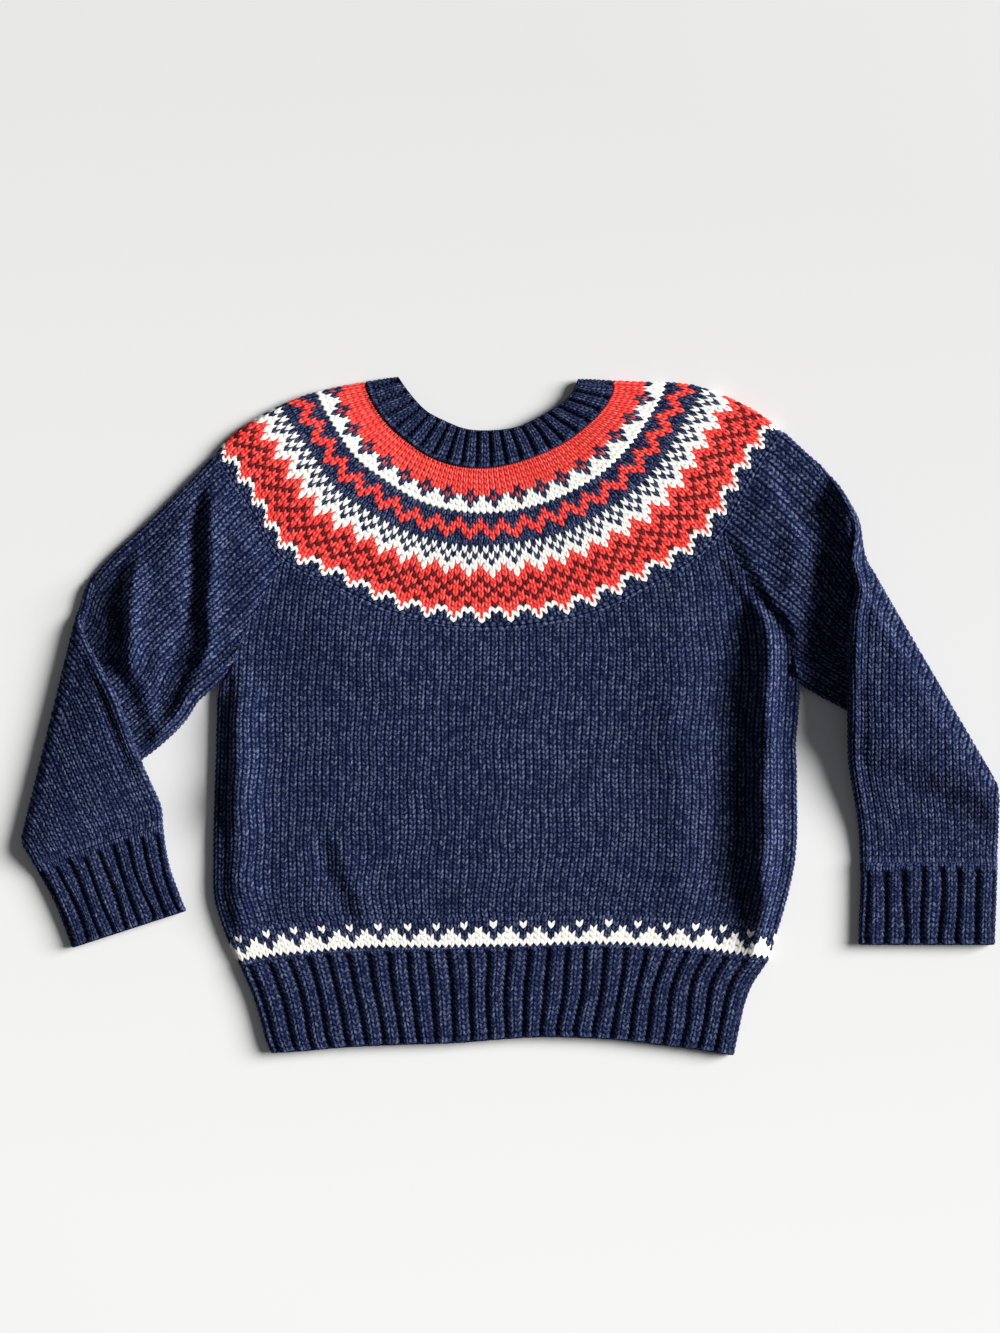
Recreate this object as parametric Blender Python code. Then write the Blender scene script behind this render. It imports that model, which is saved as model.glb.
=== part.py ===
"""A toddler's fair isle jumper, laid flat on its back.

Ten knitted pieces lie on each other as two layers of cloth: neckband, round yoke, front, back,
two hem ribs, two sleeves and two cuffs. Each sleeve is a flat tube that is turned over once along
a slanting fold, so that its lower arm lies on its upper arm and points to the hem.

The frame has +X to the right of the front as seen from above, +Y towards the neck and +Z up.
Its origin is under the middle of the garment. The tables below are in millimetres, and MIDDLE
is where that middle lies in them.
"""

import math

import bpy
import numpy as np

MM = 0.001

MIDDLE = (1.18, 0.10)

# Driving dimensions, in millimetres.
WALL = 2.6  # stocking-stitch fabric
RIB_WALL = 2.9
SEAM_GAP = 0.45
LAYERS_TOP = 6.8  # two layers lying on each other, with a little air between
EDGE_RADIUS = LAYERS_TOP / 2  # of a folded edge, seen from its end
MOST_AIR = 3.0  # between the two layers of a tube
RIB_HEIGHT = 1.2  # of a raised rib over the groove beside it
SPLIT_GAP = 0.3  # between front and back where they are joined at the side

NECK_RIBS = 20  # on the front half of each ribbed piece
HEM_RIBS = 26
CUFF_RIBS = {"left": 8, "right": 7}

# Where a rib's columns stand, as shares of its width, and how far each is raised.
RIB_COLUMNS = ((0.0, 0.0), (0.14, 0.0), (0.30, 1.0), (0.84, 1.0))

# Plan lines of the front, x and y, each from its left end to its right end.
NECK_EDGE = (
    (-66, 203.6), (-61, 196.3), (-56, 190), (-49, 183), (-38, 177), (-26, 172.3), (-10, 171.2),
    (9, 174.5), (18, 179), (26, 183.5), (34, 189), (39, 195), (42, 202.3),
)
NECK_SEAM = (
    (-85.4, 200.6), (-83.2, 192.7), (-78, 183), (-70, 173), (-60, 164.5), (-49, 156.7),
    (-35, 151), (-12, 148.7), (9, 153), (26, 159.8), (36, 165.3), (46, 173), (54, 180.6),
    (60, 189), (62.6, 195), (62.3, 201.4),
)
YOKE_SEAM = (
    (-176.4, 155.4), (-166.4, 141), (-151, 116), (-143.2, 102), (-136, 93.5), (-106.5, 78),
    (-74, 62.5), (-43, 54.5), (-12, 51.5), (20, 54), (52, 61.5), (82, 75.5), (111, 92),
    (129, 111), (145, 139.5), (156, 157.5), (165.6, 169.8),
)
YOKE_SEAM_CORNERS = (4, 13)  # the rows of YOKE_SEAM where the armhole seams meet it

# Plan lines from the neck outwards or from the armhole down.
LEFT_SHOULDER = (
    (-85.4, 200.6), (-99, 198.4), (-111.4, 195.7), (-121, 193), (-136, 187), (-148.2, 180.4),
    (-160.3, 173), (-170, 164.5), (-176.4, 155.4),
)
RIGHT_SHOULDER = (
    (62.3, 201.4), (78, 200.9), (92.4, 200.5), (107, 199.6), (120, 196.6), (132, 191.5),
    (144.5, 185.6), (156, 178), (165.6, 169.8),
)
LEFT_RAGLAN = (
    (-136, 93.5), (-143.4, 76.2), (-149, 66.5), (-155.4, 55.8), (-159.6, 45), (-163.5, 34),
    (-168, 23.5), (-173.4, 17.4),
)
RIGHT_RAGLAN = (
    (129, 111), (135, 97.8), (143, 83), (150.5, 72.5), (158, 63.5), (164.4, 54), (169, 41.5),
    (172, 29.5), (173.4, 19.8),
)
LEFT_SIDE = (
    (-173.4, 17.4), (-174, 5), (-176, -38), (-177, -86), (-176.5, -108), (-171.6, -125.4),
    (-166.8, -137.4), (-160.8, -149.4),
)
RIGHT_SIDE = (
    (173.4, 19.8), (172.6, 5), (173.6, -40), (172.2, -88), (165.5, -117), (160.5, -133),
    (156, -147),
)
LEFT_HEM_SIDE = (
    (-160.8, -149.4), (-153.5, -166), (-148.8, -181), (-145.4, -194), (-142.2, -201.8),
)
RIGHT_HEM_SIDE = ((156, -147), (147.6, -158.4), (142.8, -170), (139.5, -184), (135.6, -203.4))
BAND_LINE = (
    (-160.8, -149.4), (-124.8, -143.4), (-72, -140.4), (-16.8, -139.2), (55.2, -137.6),
    (115.2, -141), (156, -147),
)
HEM_LINE = (
    (-142.2, -201.8), (-124.8, -200.8), (-100.8, -198.6), (-64.8, -196.8), (-28.8, -195.6),
    (-4.8, -193.6), (19.2, -192.2), (43.2, -192.6), (67.2, -194), (91.2, -196.8),
    (115.2, -200), (135.6, -203.4),
)

# A sleeve as it lies before it is turned over: a straight strip. Its axis leaves the start point
# at an angle from +X, and it is turned over along a fold line that passes the fold point. At its
# top corner the fold bulges past that line by corner_reach. Past the fold the lower arm rises to
# its loft over lower_arm_rise. The upper arm is bare from bare_from past what lies on it, and
# swells over bare_fade. press is the share by which the cloth is pressed down along the fold. The
# edges have one row for each place along the axis, with both edges' distances from the axis. The
# folds are as those of the front.
SLEEVES = {
    "left": {
        "start": (-174.6, 87.6),
        "axis_angle": -135.6,
        "across_sign": 1,
        "fold_point": (-255.5, 76.0),
        "fold_angle": -103.8,
        "corner_reach": 0.0,
        "cuff_at": 213.0,
        "end_at": 267.0,
        "lower_arm_loft": 3.4,
        "lower_arm_rise": 30.0,
        "bare_from": 5.0,
        "bare_fade": 12.0,
        "press": 0.28,
        # along, upper edge, lower edge
        "edges": (
            (-46, -50.5, 51), (10, -49.6, 50.5), (50, -50, 50), (62, -48.2, 49), (76, -41, 52),
            (98, -40.6, 52), (112, -43.5, 50.4), (128, -47, 47.5), (160, -48.5, 42),
            (190, -50.6, 36.5), (205, -51, 34), (213, -49, 32.5), (237, -45, 28),
            (267, -46.3, 26.5),
        ),
        "folds": (
            (-185, 140, -188, 34, 4.2, -10.0),
            (-176, 134, -179, 40, 5.5, 4.5),
            (-197, 120, -198, 56, 8.0, 1.6),
            (-186, 60, -208, -2, 7.0, -11.0),
            (-176, 46, -197, -8, 6.0, 6.0),
            (-233, 94, -238, 14, 5.0, -14.0),
            (-222, 94, -227, 22, 6.0, 9.0),
            (-206, 108, -212, 36, 10.0, 2.0),
        ),
    },
    "right": {
        "start": (169.2, 93.6),
        "axis_angle": -29.3,
        "across_sign": -1,
        "fold_point": (213.0, 97.2),
        "fold_angle": -59.7,
        "corner_reach": 8.5,
        "cuff_at": 220.0,
        "end_at": 269.0,
        "lower_arm_loft": 11.5,
        "lower_arm_rise": 7.0,
        "bare_from": 22.0,
        "bare_fade": 9.0,
        "press": 0.0,
        "edges": (
            (-41, -65.5, 62), (-25, -61.7, 62), (0, -54.5, 62.3), (18, -47, 62.3),
            (33, -37, 62.6), (52, -29, 63), (75, -32.0, 62.6), (100, -33.0, 62),
            (129, -33.0, 60), (158, -31.6, 58.5), (200, -25, 59.4), (220, -24, 59),
            (269, -24.8, 57.6),
        ),
        "folds": (
            (172, 118, 168, 50, 8.0, 3.0),
            (150, 84, 176, 34, 4.0, 2.2),
            (178, 52, 190, 34, 3.0, 3.0),
        ),
    },
}

# The largest folds of the front, each a straight run that fades out at both ends.
# x and y at one end, x and y at the other, half width, height (a trough's is negative)
FRONT_FOLDS = (
    (156, 82, 151, -140, 8.5, 16.5),
    (102, 60, 105, -130, 14.0, 2.4),
    (139, 74, 130, -146, 10.0, -6.0),
    (132, 92, 152, 50, 6.0, 3.0),
    (126, 96, 143, 50, 6.0, -3.5),
    (-160, 26, -162, -66, 11.0, 8.0),
    (-161, -36, -160, -136, 11.0, 5.5),
    (-114, -70, -94, -126, 7.0, -2.4),
    (-104, -78, -82, -124, 8.0, 2.2),
    (-120, 62, -60, 20, 16.0, 1.8),
    (84, 60, 100, -40, 16.0, 1.4),
)
FOLD_FADE = 0.42  # the share of a fold's length over which it rises at each end
FOLD_OVERRUN = 0.35  # how far up that rise it is at its very end
FOLD_END_WIDTH = 0.6  # share of its width that is left there
LOWEST_TOP = 5.9  # where a trough presses the front onto the back

# How far each piece's outside swells over its edges, and where the swelling fades.
FRONT_LOFT = 2.0
FRONT_LOFT_HALF_WIDTH = 90.0
FRONT_LOFT_SIDE_FADE = 75.0
FRONT_LOFT_HEM_FADE = 40.0
SIDE_FADE = 10.0  # every fold of the front fades out this far from its sides
YOKE_LOFT = 1.6
YOKE_EDGE_SHARE = 0.12  # of the yoke's width, at each shoulder
JOIN_RIDGE = 1.4  # the thicker last rows of the yoke
JOIN_RIDGE_FROM = 0.8  # as a share of the yoke's depth
UPPER_ARM_LOFT = 4.6
UPPER_ARM_EDGE_SHARE = 0.2  # of the arm's width, at each edge
PRESS_REACH = 24.0  # from the fold, where the cloth is pressed
LOWER_ARM_TAPER = 90.0  # to the cuff
OUTER_LOFT_SHARE = 0.35  # of the lower arm's loft, on its outer side
LOFT_ASIDE = (-30.0, 20.0)  # from full loft to the outer side's, across the strip

CORNER_FADE = (-24.0, 6.0)  # where the fold's bulge ends, along the fold line from its point
DRAPE = (3.0, 26.0)  # past the upper arm's lower edge, the lower arm comes down to the floor

# Rows of the neckband, from its free edge to its seam: the share of its depth, and the height.
NECKBAND_ROWS = ((0.0, -1.2), (0.16, 0.0), (0.84, 0.0), (1.0, -0.6))

# How finely the pieces are divided.
YOKE_CORNER_STEPS = 8  # from a shoulder to the top of the armhole seam; even, as are the next two
YOKE_FRONT_STEPS = 24
RAGLAN_STEPS = 8
BACK_EVERY = 2  # the layer underneath has every second column
LINE_STEPS = 12  # of a smooth line, from one row of its table to the next
NECK_EDGE_STEPS = 39
YOKE_ROWS = 10
FRONT_ROWS = 15
BACK_ROWS = 5
HEM_ROWS = 4
UPPER_ARM_ROWS = 12
FOLD_ROWS = 7
LOWER_ARM_ROWS = 10
CUFF_ROWS = 3
EDGE_ANGLES = (60, 30, 0, -30, -60)  # round a folded edge, from the upper layer to the lower one
STRIP_START = -45.0  # before a sleeve's start point, where its edges begin
STRIP_STEPS = 900  # in which a place along an edge is looked for
SHARP_ANGLE = 50  # degrees between faces, from which their edge is drawn as a corner

COLOURS = {
    "navy": (0.030, 0.038, 0.085, 1.0),
    "red": (0.74, 0.06, 0.05, 1.0),
}
WOOL_ROUGHNESS = 0.92


def smoothstep(value):
    """0 up to 0, 1 from 1 on, and an even curve between."""
    value = np.clip(value, 0.0, 1.0)
    return value * value * (3.0 - 2.0 * value)


def distances(points):
    """How far along a line each of its points is."""
    steps = np.hypot(*np.diff(points, axis=0).T)
    return np.concatenate([[0.0], np.cumsum(steps)])


def smooth_line(rows):
    """A smooth line through the rows, as many points."""
    rows = np.array(rows, dtype=float)
    at = distances(rows)
    slopes = np.gradient(rows, at, axis=0)
    line = [rows[:1]]
    for start in range(len(rows) - 1):
        span = at[start + 1] - at[start]
        t = np.linspace(0.0, 1.0, LINE_STEPS + 1)[1:, None]
        line.append(
            (2 * t**3 - 3 * t**2 + 1) * rows[start]
            + (t**3 - 2 * t**2 + t) * span * slopes[start]
            + (3 * t**2 - 2 * t**3) * rows[start + 1]
            + (t**3 - t**2) * span * slopes[start + 1]
        )
    return np.concatenate(line)


def points_at(line, shares):
    """The points at these shares of the line's length."""
    at = distances(line)
    wanted = np.asarray(shares) * at[-1]
    return np.column_stack([np.interp(wanted, at, line[:, axis]) for axis in (0, 1)])


def evenly(line, steps):
    return points_at(line, np.linspace(0.0, 1.0, steps + 1))


def height_line(line, x):
    """The points of a line that runs left to right, at these x."""
    return np.column_stack([x, np.interp(x, line[:, 0], line[:, 1])])


def sideways(line, distance):
    """The line moved to its left, or to its right if the distance is negative."""
    along = np.gradient(line, axis=0)
    along /= np.hypot(along[:, 0], along[:, 1])[:, None]
    return line + distance * np.column_stack([-along[:, 1], along[:, 0]])


def trimmed(line):
    """The line with both its ends a folded edge's radius shorter."""
    line = line.copy()
    for end, following in ((0, 1), (-1, -2)):
        step = line[following] - line[end]
        line[end] += EDGE_RADIUS * step / math.hypot(*step)
    return line


def pulled(line, towards, distance):
    """The line with each point moved this far towards the other line's."""
    steps = towards - line
    return line + distance * steps / np.hypot(steps[:, 0], steps[:, 1])[:, None]


def patch(start, end, left, right, across):
    """Plan points [across][along] of a piece between its seams, start and end, and its sides."""
    left, right = left.copy(), right.copy()
    left[0], left[-1] = start[0], end[0]
    right[0], right[-1] = start[-1], end[-1]
    u = across[:, None, None]
    v = np.linspace(0.0, 1.0, len(left))[None, :, None]
    ruled = (1 - v) * start[:, None] + v * end[:, None]
    left_swell = left[None] - ((1 - v) * left[0] + v * left[-1])
    right_swell = right[None] - ((1 - v) * right[0] + v * right[-1])
    return ruled + (1 - u) * left_swell + u * right_swell


def outward(edge, inside):
    """Unit directions away from the cloth inside: square to its folded edge, but along its seams."""
    normal = sideways(edge, 1.0) - edge
    if ((edge - inside) * normal).sum() < 0:
        normal = -normal
    for end in (0, -1):
        step = edge[end] - inside[end]
        normal[end] = step / math.hypot(*step)
    return normal


def layer(plan, height):
    """Points [across][along] with their height."""
    height = np.broadcast_to(height, plan.shape[:2])
    return np.concatenate([plan, height[..., None]], axis=2)


def flat_tube(front, top, wall, relief=0.0):
    """The outer and inner skins, [round][along], of two layers of cloth with folded edges.

    front holds the plan points between the two folded edges. top is the height of the upper
    layer's plain outside, and relief is what is raised on it.
    """
    top = np.broadcast_to(top, front.shape[:2])
    back = front[::-BACK_EVERY]
    air_top = np.minimum(top - wall, wall + MOST_AIR)
    outer = [layer(front, top + relief)]
    inner = [layer(front, air_top)]
    for edge, inside, back_layer in ((-1, -2, True), (0, 1, False)):
        direction = outward(front[edge], front[inside])
        for skin, radius in ((outer, EDGE_RADIUS), (inner, EDGE_RADIUS - wall)):
            ring = []
            for angle in EDGE_ANGLES:
                reach = radius * math.cos(math.radians(angle))
                rise = radius * math.sin(math.radians(angle))
                ring.append(layer(front[edge][None] + reach * direction, EDGE_RADIUS + rise)[0])
            skin.append(np.array(ring if back_layer else ring[::-1]))
        if back_layer:
            outer.append(layer(back, 0.0))
            inner.append(layer(back, wall))
    return np.concatenate(outer), np.concatenate(inner)


def halves(skin, columns, gap):
    """The upper and the lower half of a flat tube's skin, parted at mid height on both sides."""
    middle = EDGE_ANGLES.index(0)
    first = columns + middle
    last = len(skin) - 1 - middle
    upper = np.concatenate([skin[last:], skin[: first + 1]])
    lower = skin[first : last + 1].copy()
    for half, side in ((upper, 0.5), (lower, -0.5)):
        half[0, :, 2] += side * gap
        half[-1, :, 2] += side * gap
    return upper, lower


def skin_faces(count, rows, closed, start, flip):
    """Quads over a grid of points, numbered from start."""
    faces = []
    for i in range(count if closed else count - 1):
        following = (i + 1) % count
        for j in range(rows - 1):
            quad = [i * rows + j, following * rows + j, following * rows + j + 1, i * rows + j + 1]
            faces.append([start + corner for corner in (quad[::-1] if flip else quad)])
    return faces


def edge_faces(count, rows, closed):
    """Quads that join the outer skin to the inner one along its open edges."""
    inner = count * rows
    faces = []
    for i in range(count if closed else count - 1):
        following = (i + 1) % count
        first, second = i * rows, following * rows
        faces.append([second, first, first + inner, second + inner])
        first, second = first + rows - 1, second + rows - 1
        faces.append([first, second, second + inner, first + inner])
    if not closed:
        for j in range(rows - 1):
            faces.append([j, j + 1, j + 1 + inner, j + inner])
            far = (count - 1) * rows + j
            faces.append([far + 1, far, far + inner, far + 1 + inner])
    return faces


def signed_volume(points, faces):
    corners = [points[np.array(faces)[:, k]] for k in range(4)]
    first = np.einsum("ij,ij->i", corners[0], np.cross(corners[1], corners[2])).sum()
    second = np.einsum("ij,ij->i", corners[0], np.cross(corners[2], corners[3])).sum()
    return (first + second) / 6


def knit_material(name, colour):
    material = bpy.data.materials.new(name)
    material.use_nodes = True
    shader = material.node_tree.nodes["Principled BSDF"]
    shader.inputs["Base Color"].default_value = colour
    shader.inputs["Roughness"].default_value = WOOL_ROUGHNESS
    shader.inputs["Metallic"].default_value = 0.0
    material.diffuse_color = colour
    return material


def add_cloth(name, outer, inner, closed, material, collection):
    """One knitted piece, as a wall between its outer and inner skins."""
    count, rows = outer.shape[:2]
    points = np.concatenate([outer.reshape(-1, 3), inner.reshape(-1, 3)])
    points[:, :2] -= MIDDLE
    faces = skin_faces(count, rows, closed, 0, False)
    faces += skin_faces(count, rows, closed, count * rows, True)
    faces += edge_faces(count, rows, closed)
    if signed_volume(points, faces) < 0:
        faces = [face[::-1] for face in faces]
    mesh = bpy.data.meshes.new(name)
    mesh.from_pydata((points * MM).tolist(), [], faces)
    mesh.materials.append(material)
    mesh.shade_smooth()
    mesh.set_sharp_from_angle(angle=math.radians(SHARP_ANGLE))
    mesh.update()
    piece = bpy.data.objects.new(name, mesh)
    collection.objects.link(piece)
    return piece


def rib_shares(ribs):
    """Shares across a ribbed piece, and how far each column is raised."""
    shares, raised = [], []
    for rib in range(ribs):
        for place, height in RIB_COLUMNS:
            shares.append((rib + place) / ribs)
            raised.append(height)
    return np.array(shares + [1.0]), np.array(raised + [0.0])


def fold_relief(x, y, folds):
    """The height that the folds add at x, y."""
    total = np.zeros_like(x)
    for x0, y0, x1, y1, half_width, height in folds:
        length = math.hypot(x1 - x0, y1 - y0)
        along_x, along_y = (x1 - x0) / length, (y1 - y0) / length
        share = ((x - x0) * along_x + (y - y0) * along_y) / length
        aside = (y - y0) * along_x - (x - x0) * along_y
        from_end = np.minimum(share, 1 - share)
        fade = smoothstep(from_end / FOLD_FADE + FOLD_OVERRUN)
        width = half_width * (FOLD_END_WIDTH + (1 - FOLD_END_WIDTH) * fade)
        total = total + height * fade * np.exp(-((aside / width) ** 2))
    return total


def front_top(plan):
    """Height of the front's outside, which comes down to its neighbours at all its edges."""
    x, y = plan[..., 0], plan[..., 1]
    middle = 1 - smoothstep((np.abs(x) - FRONT_LOFT_HALF_WIDTH) / FRONT_LOFT_SIDE_FADE)
    over_hem = smoothstep((y - y[:, -1:]) / FRONT_LOFT_HEM_FADE)
    from_side = np.minimum(x - x[0], x[-1] - x)
    relief = FRONT_LOFT * middle * over_hem + fold_relief(x, y, FRONT_FOLDS)
    return np.maximum(LAYERS_TOP + relief * smoothstep(from_side / SIDE_FADE), LOWEST_TOP)


def yoke_top(count, rows):
    """Height of the yoke's outside, [across][along]: swollen in the middle, ridged at its join."""
    u = np.linspace(0.0, 1.0, count)[:, None]
    v = np.linspace(0.0, 1.0, rows)[None, :]
    inside = smoothstep(np.minimum(u, 1 - u) / YOKE_EDGE_SHARE)
    ridge = JOIN_RIDGE * smoothstep((v - JOIN_RIDGE_FROM) / (1 - JOIN_RIDGE_FROM))
    return LAYERS_TOP + inside * (YOKE_LOFT * np.sin(math.pi * v) + ridge)


def yoke_seam_points():
    """The yoke's outer seam, split at the armholes' tops, and the share of each point."""
    line = smooth_line(YOKE_SEAM)
    left, right = (LINE_STEPS * row for row in YOKE_SEAM_CORNERS)
    parts = (
        evenly(line[: left + 1], YOKE_CORNER_STEPS),
        evenly(line[left : right + 1], YOKE_FRONT_STEPS)[1:],
        evenly(line[right:], YOKE_CORNER_STEPS)[1:],
    )
    seam = np.concatenate(parts)
    at = distances(seam)
    return seam, at / at[-1]


def neck_seam_points():
    _, shares = yoke_seam_points()
    return trimmed(points_at(smooth_line(NECK_SEAM), shares))


def add_neckband(material, collection):
    shares, raised = rib_shares(NECK_RIBS)
    inside = points_at(trimmed(evenly(smooth_line(NECK_EDGE), NECK_EDGE_STEPS)), shares)
    seam = points_at(neck_seam_points(), shares)
    seam = pulled(seam, inside, SEAM_GAP)
    v = np.array([place for place, _ in NECKBAND_ROWS])[None, :, None]
    rolled = np.array([height for _, height in NECKBAND_ROWS])
    front = (1 - v) * inside[:, None] + v * seam[:, None]
    relief = RIB_HEIGHT * raised[:, None] + rolled
    skins = flat_tube(front, LAYERS_TOP, RIB_WALL, relief)
    return add_cloth("neckband", *skins, True, material, collection)


def add_yoke(material, collection):
    seam, shares = yoke_seam_points()
    neck = neck_seam_points()
    seam = pulled(trimmed(seam), neck, SEAM_GAP)
    left = sideways(evenly(smooth_line(LEFT_SHOULDER), YOKE_ROWS - 1), EDGE_RADIUS)
    right = sideways(evenly(smooth_line(RIGHT_SHOULDER), YOKE_ROWS - 1), -EDGE_RADIUS)
    front = patch(neck, seam, left, right, shares)
    skins = flat_tube(front, yoke_top(*front.shape[:2]), WALL)
    return add_cloth("yoke", *skins, True, material, collection)


def body_seam():
    """The top of the body, from armpit to armpit: armhole seam, yoke seam, armhole seam."""
    seam, _ = yoke_seam_points()
    middle = seam[YOKE_CORNER_STEPS : YOKE_CORNER_STEPS + YOKE_FRONT_STEPS + 1]
    left = evenly(smooth_line(LEFT_RAGLAN), RAGLAN_STEPS)[::-1]
    right = evenly(smooth_line(RIGHT_RAGLAN), RAGLAN_STEPS)
    return np.concatenate([left[:-1], middle, right[1:]])


def body_plan(rows):
    """Plan points of the body, from its top seam to the hem ribs."""
    top = trimmed(body_seam())
    across = (top[:, 0] - top[0, 0]) / (top[-1, 0] - top[0, 0])
    left = evenly(smooth_line(LEFT_SIDE), rows - 1) + (EDGE_RADIUS, 0)
    right = evenly(smooth_line(RIGHT_SIDE), rows - 1) - (EDGE_RADIUS, 0)
    band_x = left[-1, 0] + across * (right[-1, 0] - left[-1, 0])
    band = height_line(smooth_line(BAND_LINE), band_x) + (0, SEAM_GAP)
    return patch(top, band, left, right, across)


def add_body(material, collection):
    for name, rows, upper in (("body_front", FRONT_ROWS, True), ("body_back", BACK_ROWS, False)):
        front = body_plan(rows)
        skins = flat_tube(front, front_top(front), WALL)
        skins = [halves(skin, len(front), SPLIT_GAP)[0 if upper else 1] for skin in skins]
        add_cloth(name, *skins, False, material, collection)


def add_hem_ribs(material, collection):
    shares, raised = rib_shares(HEM_RIBS)
    left = evenly(smooth_line(LEFT_HEM_SIDE), HEM_ROWS - 1) + (EDGE_RADIUS, 0)
    right = evenly(smooth_line(RIGHT_HEM_SIDE), HEM_ROWS - 1) - (EDGE_RADIUS, 0)
    lines = []
    for rows, end in ((BAND_LINE, 0), (HEM_LINE, -1)):
        x = left[end, 0] + shares * (right[end, 0] - left[end, 0])
        lines.append(height_line(smooth_line(rows), x))
    front = patch(*lines, left, right, shares)
    skins = flat_tube(front, LAYERS_TOP, RIB_WALL, RIB_HEIGHT * raised[:, None])
    for name, half in (("hem_rib_front", 0), ("hem_rib_back", 1)):
        parts = [halves(skin, len(front), SPLIT_GAP)[half] for skin in skins]
        add_cloth(name, *parts, False, material, collection)


class Sleeve:
    """One sleeve's strip, and the fold that turns it over."""

    def __init__(self, sizes):
        angle = math.radians(sizes["axis_angle"])
        fold = math.radians(sizes["fold_angle"])
        self.sizes = sizes
        self.start = np.array(sizes["start"])
        self.along = np.array([math.cos(angle), math.sin(angle)])
        self.across = sizes["across_sign"] * np.array([-self.along[1], self.along[0]])
        self.past_fold = np.array([math.sin(fold), -math.cos(fold)])
        if self.past_fold @ self.along < 0:
            self.past_fold = -self.past_fold
        # The strip bends round a line this high, and so reaches as far past it in plan.
        self.fold_height = LAYERS_TOP + SEAM_GAP / 2
        self.bend_length = math.pi * self.fold_height / 2
        self.fold_start = np.array(sizes["fold_point"]) - self.fold_height * self.past_fold
        self.down_fold = np.array([math.cos(fold), math.sin(fold)])

    def edge(self, along, column):
        """Plan points on the upper (1) or lower (2) edge, a folded edge's radius inside it."""
        table = np.array(self.sizes["edges"])
        inset = EDGE_RADIUS if column == 1 else -EDGE_RADIUS
        aside = np.interp(along, table[:, 0], table[:, column]) + inset
        along = np.asarray(along)
        return self.start + along[..., None] * self.along + aside[..., None] * self.across

    def bulge(self, down):
        """How far the fold bulges past its straight line, this far down it from its point."""
        first, last = CORNER_FADE
        return self.sizes["corner_reach"] * (1 - smoothstep((down - first) / (last - first)))

    def past(self, plan):
        """How far plan points lie past the start of the fold."""
        offset = plan - self.fold_start
        return offset @ self.past_fold - self.bulge(offset @ self.down_fold)

    def place_on_edge(self, past, column):
        """How far along the strip its edge comes this far past the fold's start."""
        along = np.linspace(STRIP_START, self.sizes["end_at"], STRIP_STEPS)
        reach = np.maximum.accumulate(self.past(self.edge(along, column)))
        return float(np.interp(past, reach, along))

    def fold_line(self, past, shares):
        """Plan points across the strip that are all this far past the fold's start."""
        ends = [self.edge(self.place_on_edge(past, column), column) for column in (1, 2)]
        first, last = [(end - self.fold_start) @ self.down_fold for end in ends]
        down = first + shares * (last - first)
        reach = past + self.bulge(down)
        return self.fold_start + down[:, None] * self.down_fold + reach[:, None] * self.past_fold

    def cross_line(self, at, shares):
        """A straight line square across the strip."""
        upper, lower = self.edge(at, 1), self.edge(at, 2)
        return upper + shares[:, None] * (lower - upper)

    def stretch(self, first, last, first_at, last_at, rows, shares):
        """Plan points between two lines across the strip, whose edges keep to its table."""
        upper = self.edge(np.linspace(first_at[0], last_at[0], rows), 1)
        lower = self.edge(np.linspace(first_at[1], last_at[1], rows), 2)
        return patch(first, last, upper, lower, shares)

    def turn_over(self, points):
        """Folds a strip's points over, and lets the lower arm down past the upper arm's edge."""
        plan, height = points[..., :2], points[..., 2]
        past = self.past(plan)
        angle = np.clip(past / self.bend_length, 0.0, 1.0) * math.pi
        radius = self.fold_height - height
        beyond = np.maximum(past - self.bend_length, 0.0)
        bent = np.where(past > 0, radius * np.sin(angle) - beyond, past)
        turned = np.where(past > 0, self.fold_height - radius * np.cos(angle), height)
        plan = plan + (bent - past)[..., None] * self.past_fold
        lower_arm = past > self.bend_length
        under = self.fold_height * 2 - LAYERS_TOP
        loft = self.loft(points[..., :2], beyond)
        share = (turned - under) / LAYERS_TOP
        reach = (self.past_upper_arm(plan) - DRAPE[0]) / (DRAPE[1] - DRAPE[0])
        turned = np.where(lower_arm, turned + share * loft - under * smoothstep(reach), turned)
        near_fold = 1 - smoothstep((self.fold_height - bent) / PRESS_REACH)
        turned = turned * (1 - self.sizes["press"] * near_fold)
        return np.concatenate([plan, turned[..., None]], axis=-1)

    def bare(self, plan):
        """1 on the upper arm where nothing lies on it, 0 elsewhere."""
        mirrored = -self.past(plan)
        table = np.array(self.sizes["edges"])
        over = plan + (2 * mirrored + self.bend_length)[..., None] * self.past_fold
        along = (over - self.start) @ self.along
        aside = (over - self.start) @ self.across
        clear = np.interp(along, table[:, 0], table[:, 1]) - aside
        from_edge, from_fold = [
            smoothstep((space - self.sizes["bare_from"]) / self.sizes["bare_fade"])
            for space in (clear, mirrored)
        ]
        return from_edge * from_fold

    def past_upper_arm(self, plan):
        """How far a plan point lies outside the upper arm's lower edge."""
        table = np.array(self.sizes["edges"])
        along = (plan - self.start) @ self.along
        aside = (plan - self.start) @ self.across
        return aside - np.interp(along, table[:, 0], table[:, 2])

    def loft(self, strip_plan, beyond):
        """How much the lower arm's folded layers stand over two flat ones."""
        along = (strip_plan - self.start) @ self.along
        aside = (strip_plan - self.start) @ self.across
        past_fold = smoothstep(beyond / self.sizes["lower_arm_rise"])
        before_cuff = smoothstep((self.sizes["cuff_at"] - along) / LOWER_ARM_TAPER)
        inner, outer = LOFT_ASIDE
        inner_side = smoothstep((outer - aside) / (outer - inner))
        share = OUTER_LOFT_SHARE + (1 - OUTER_LOFT_SHARE) * inner_side
        return self.sizes["lower_arm_loft"] * past_fold * before_cuff * share


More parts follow.
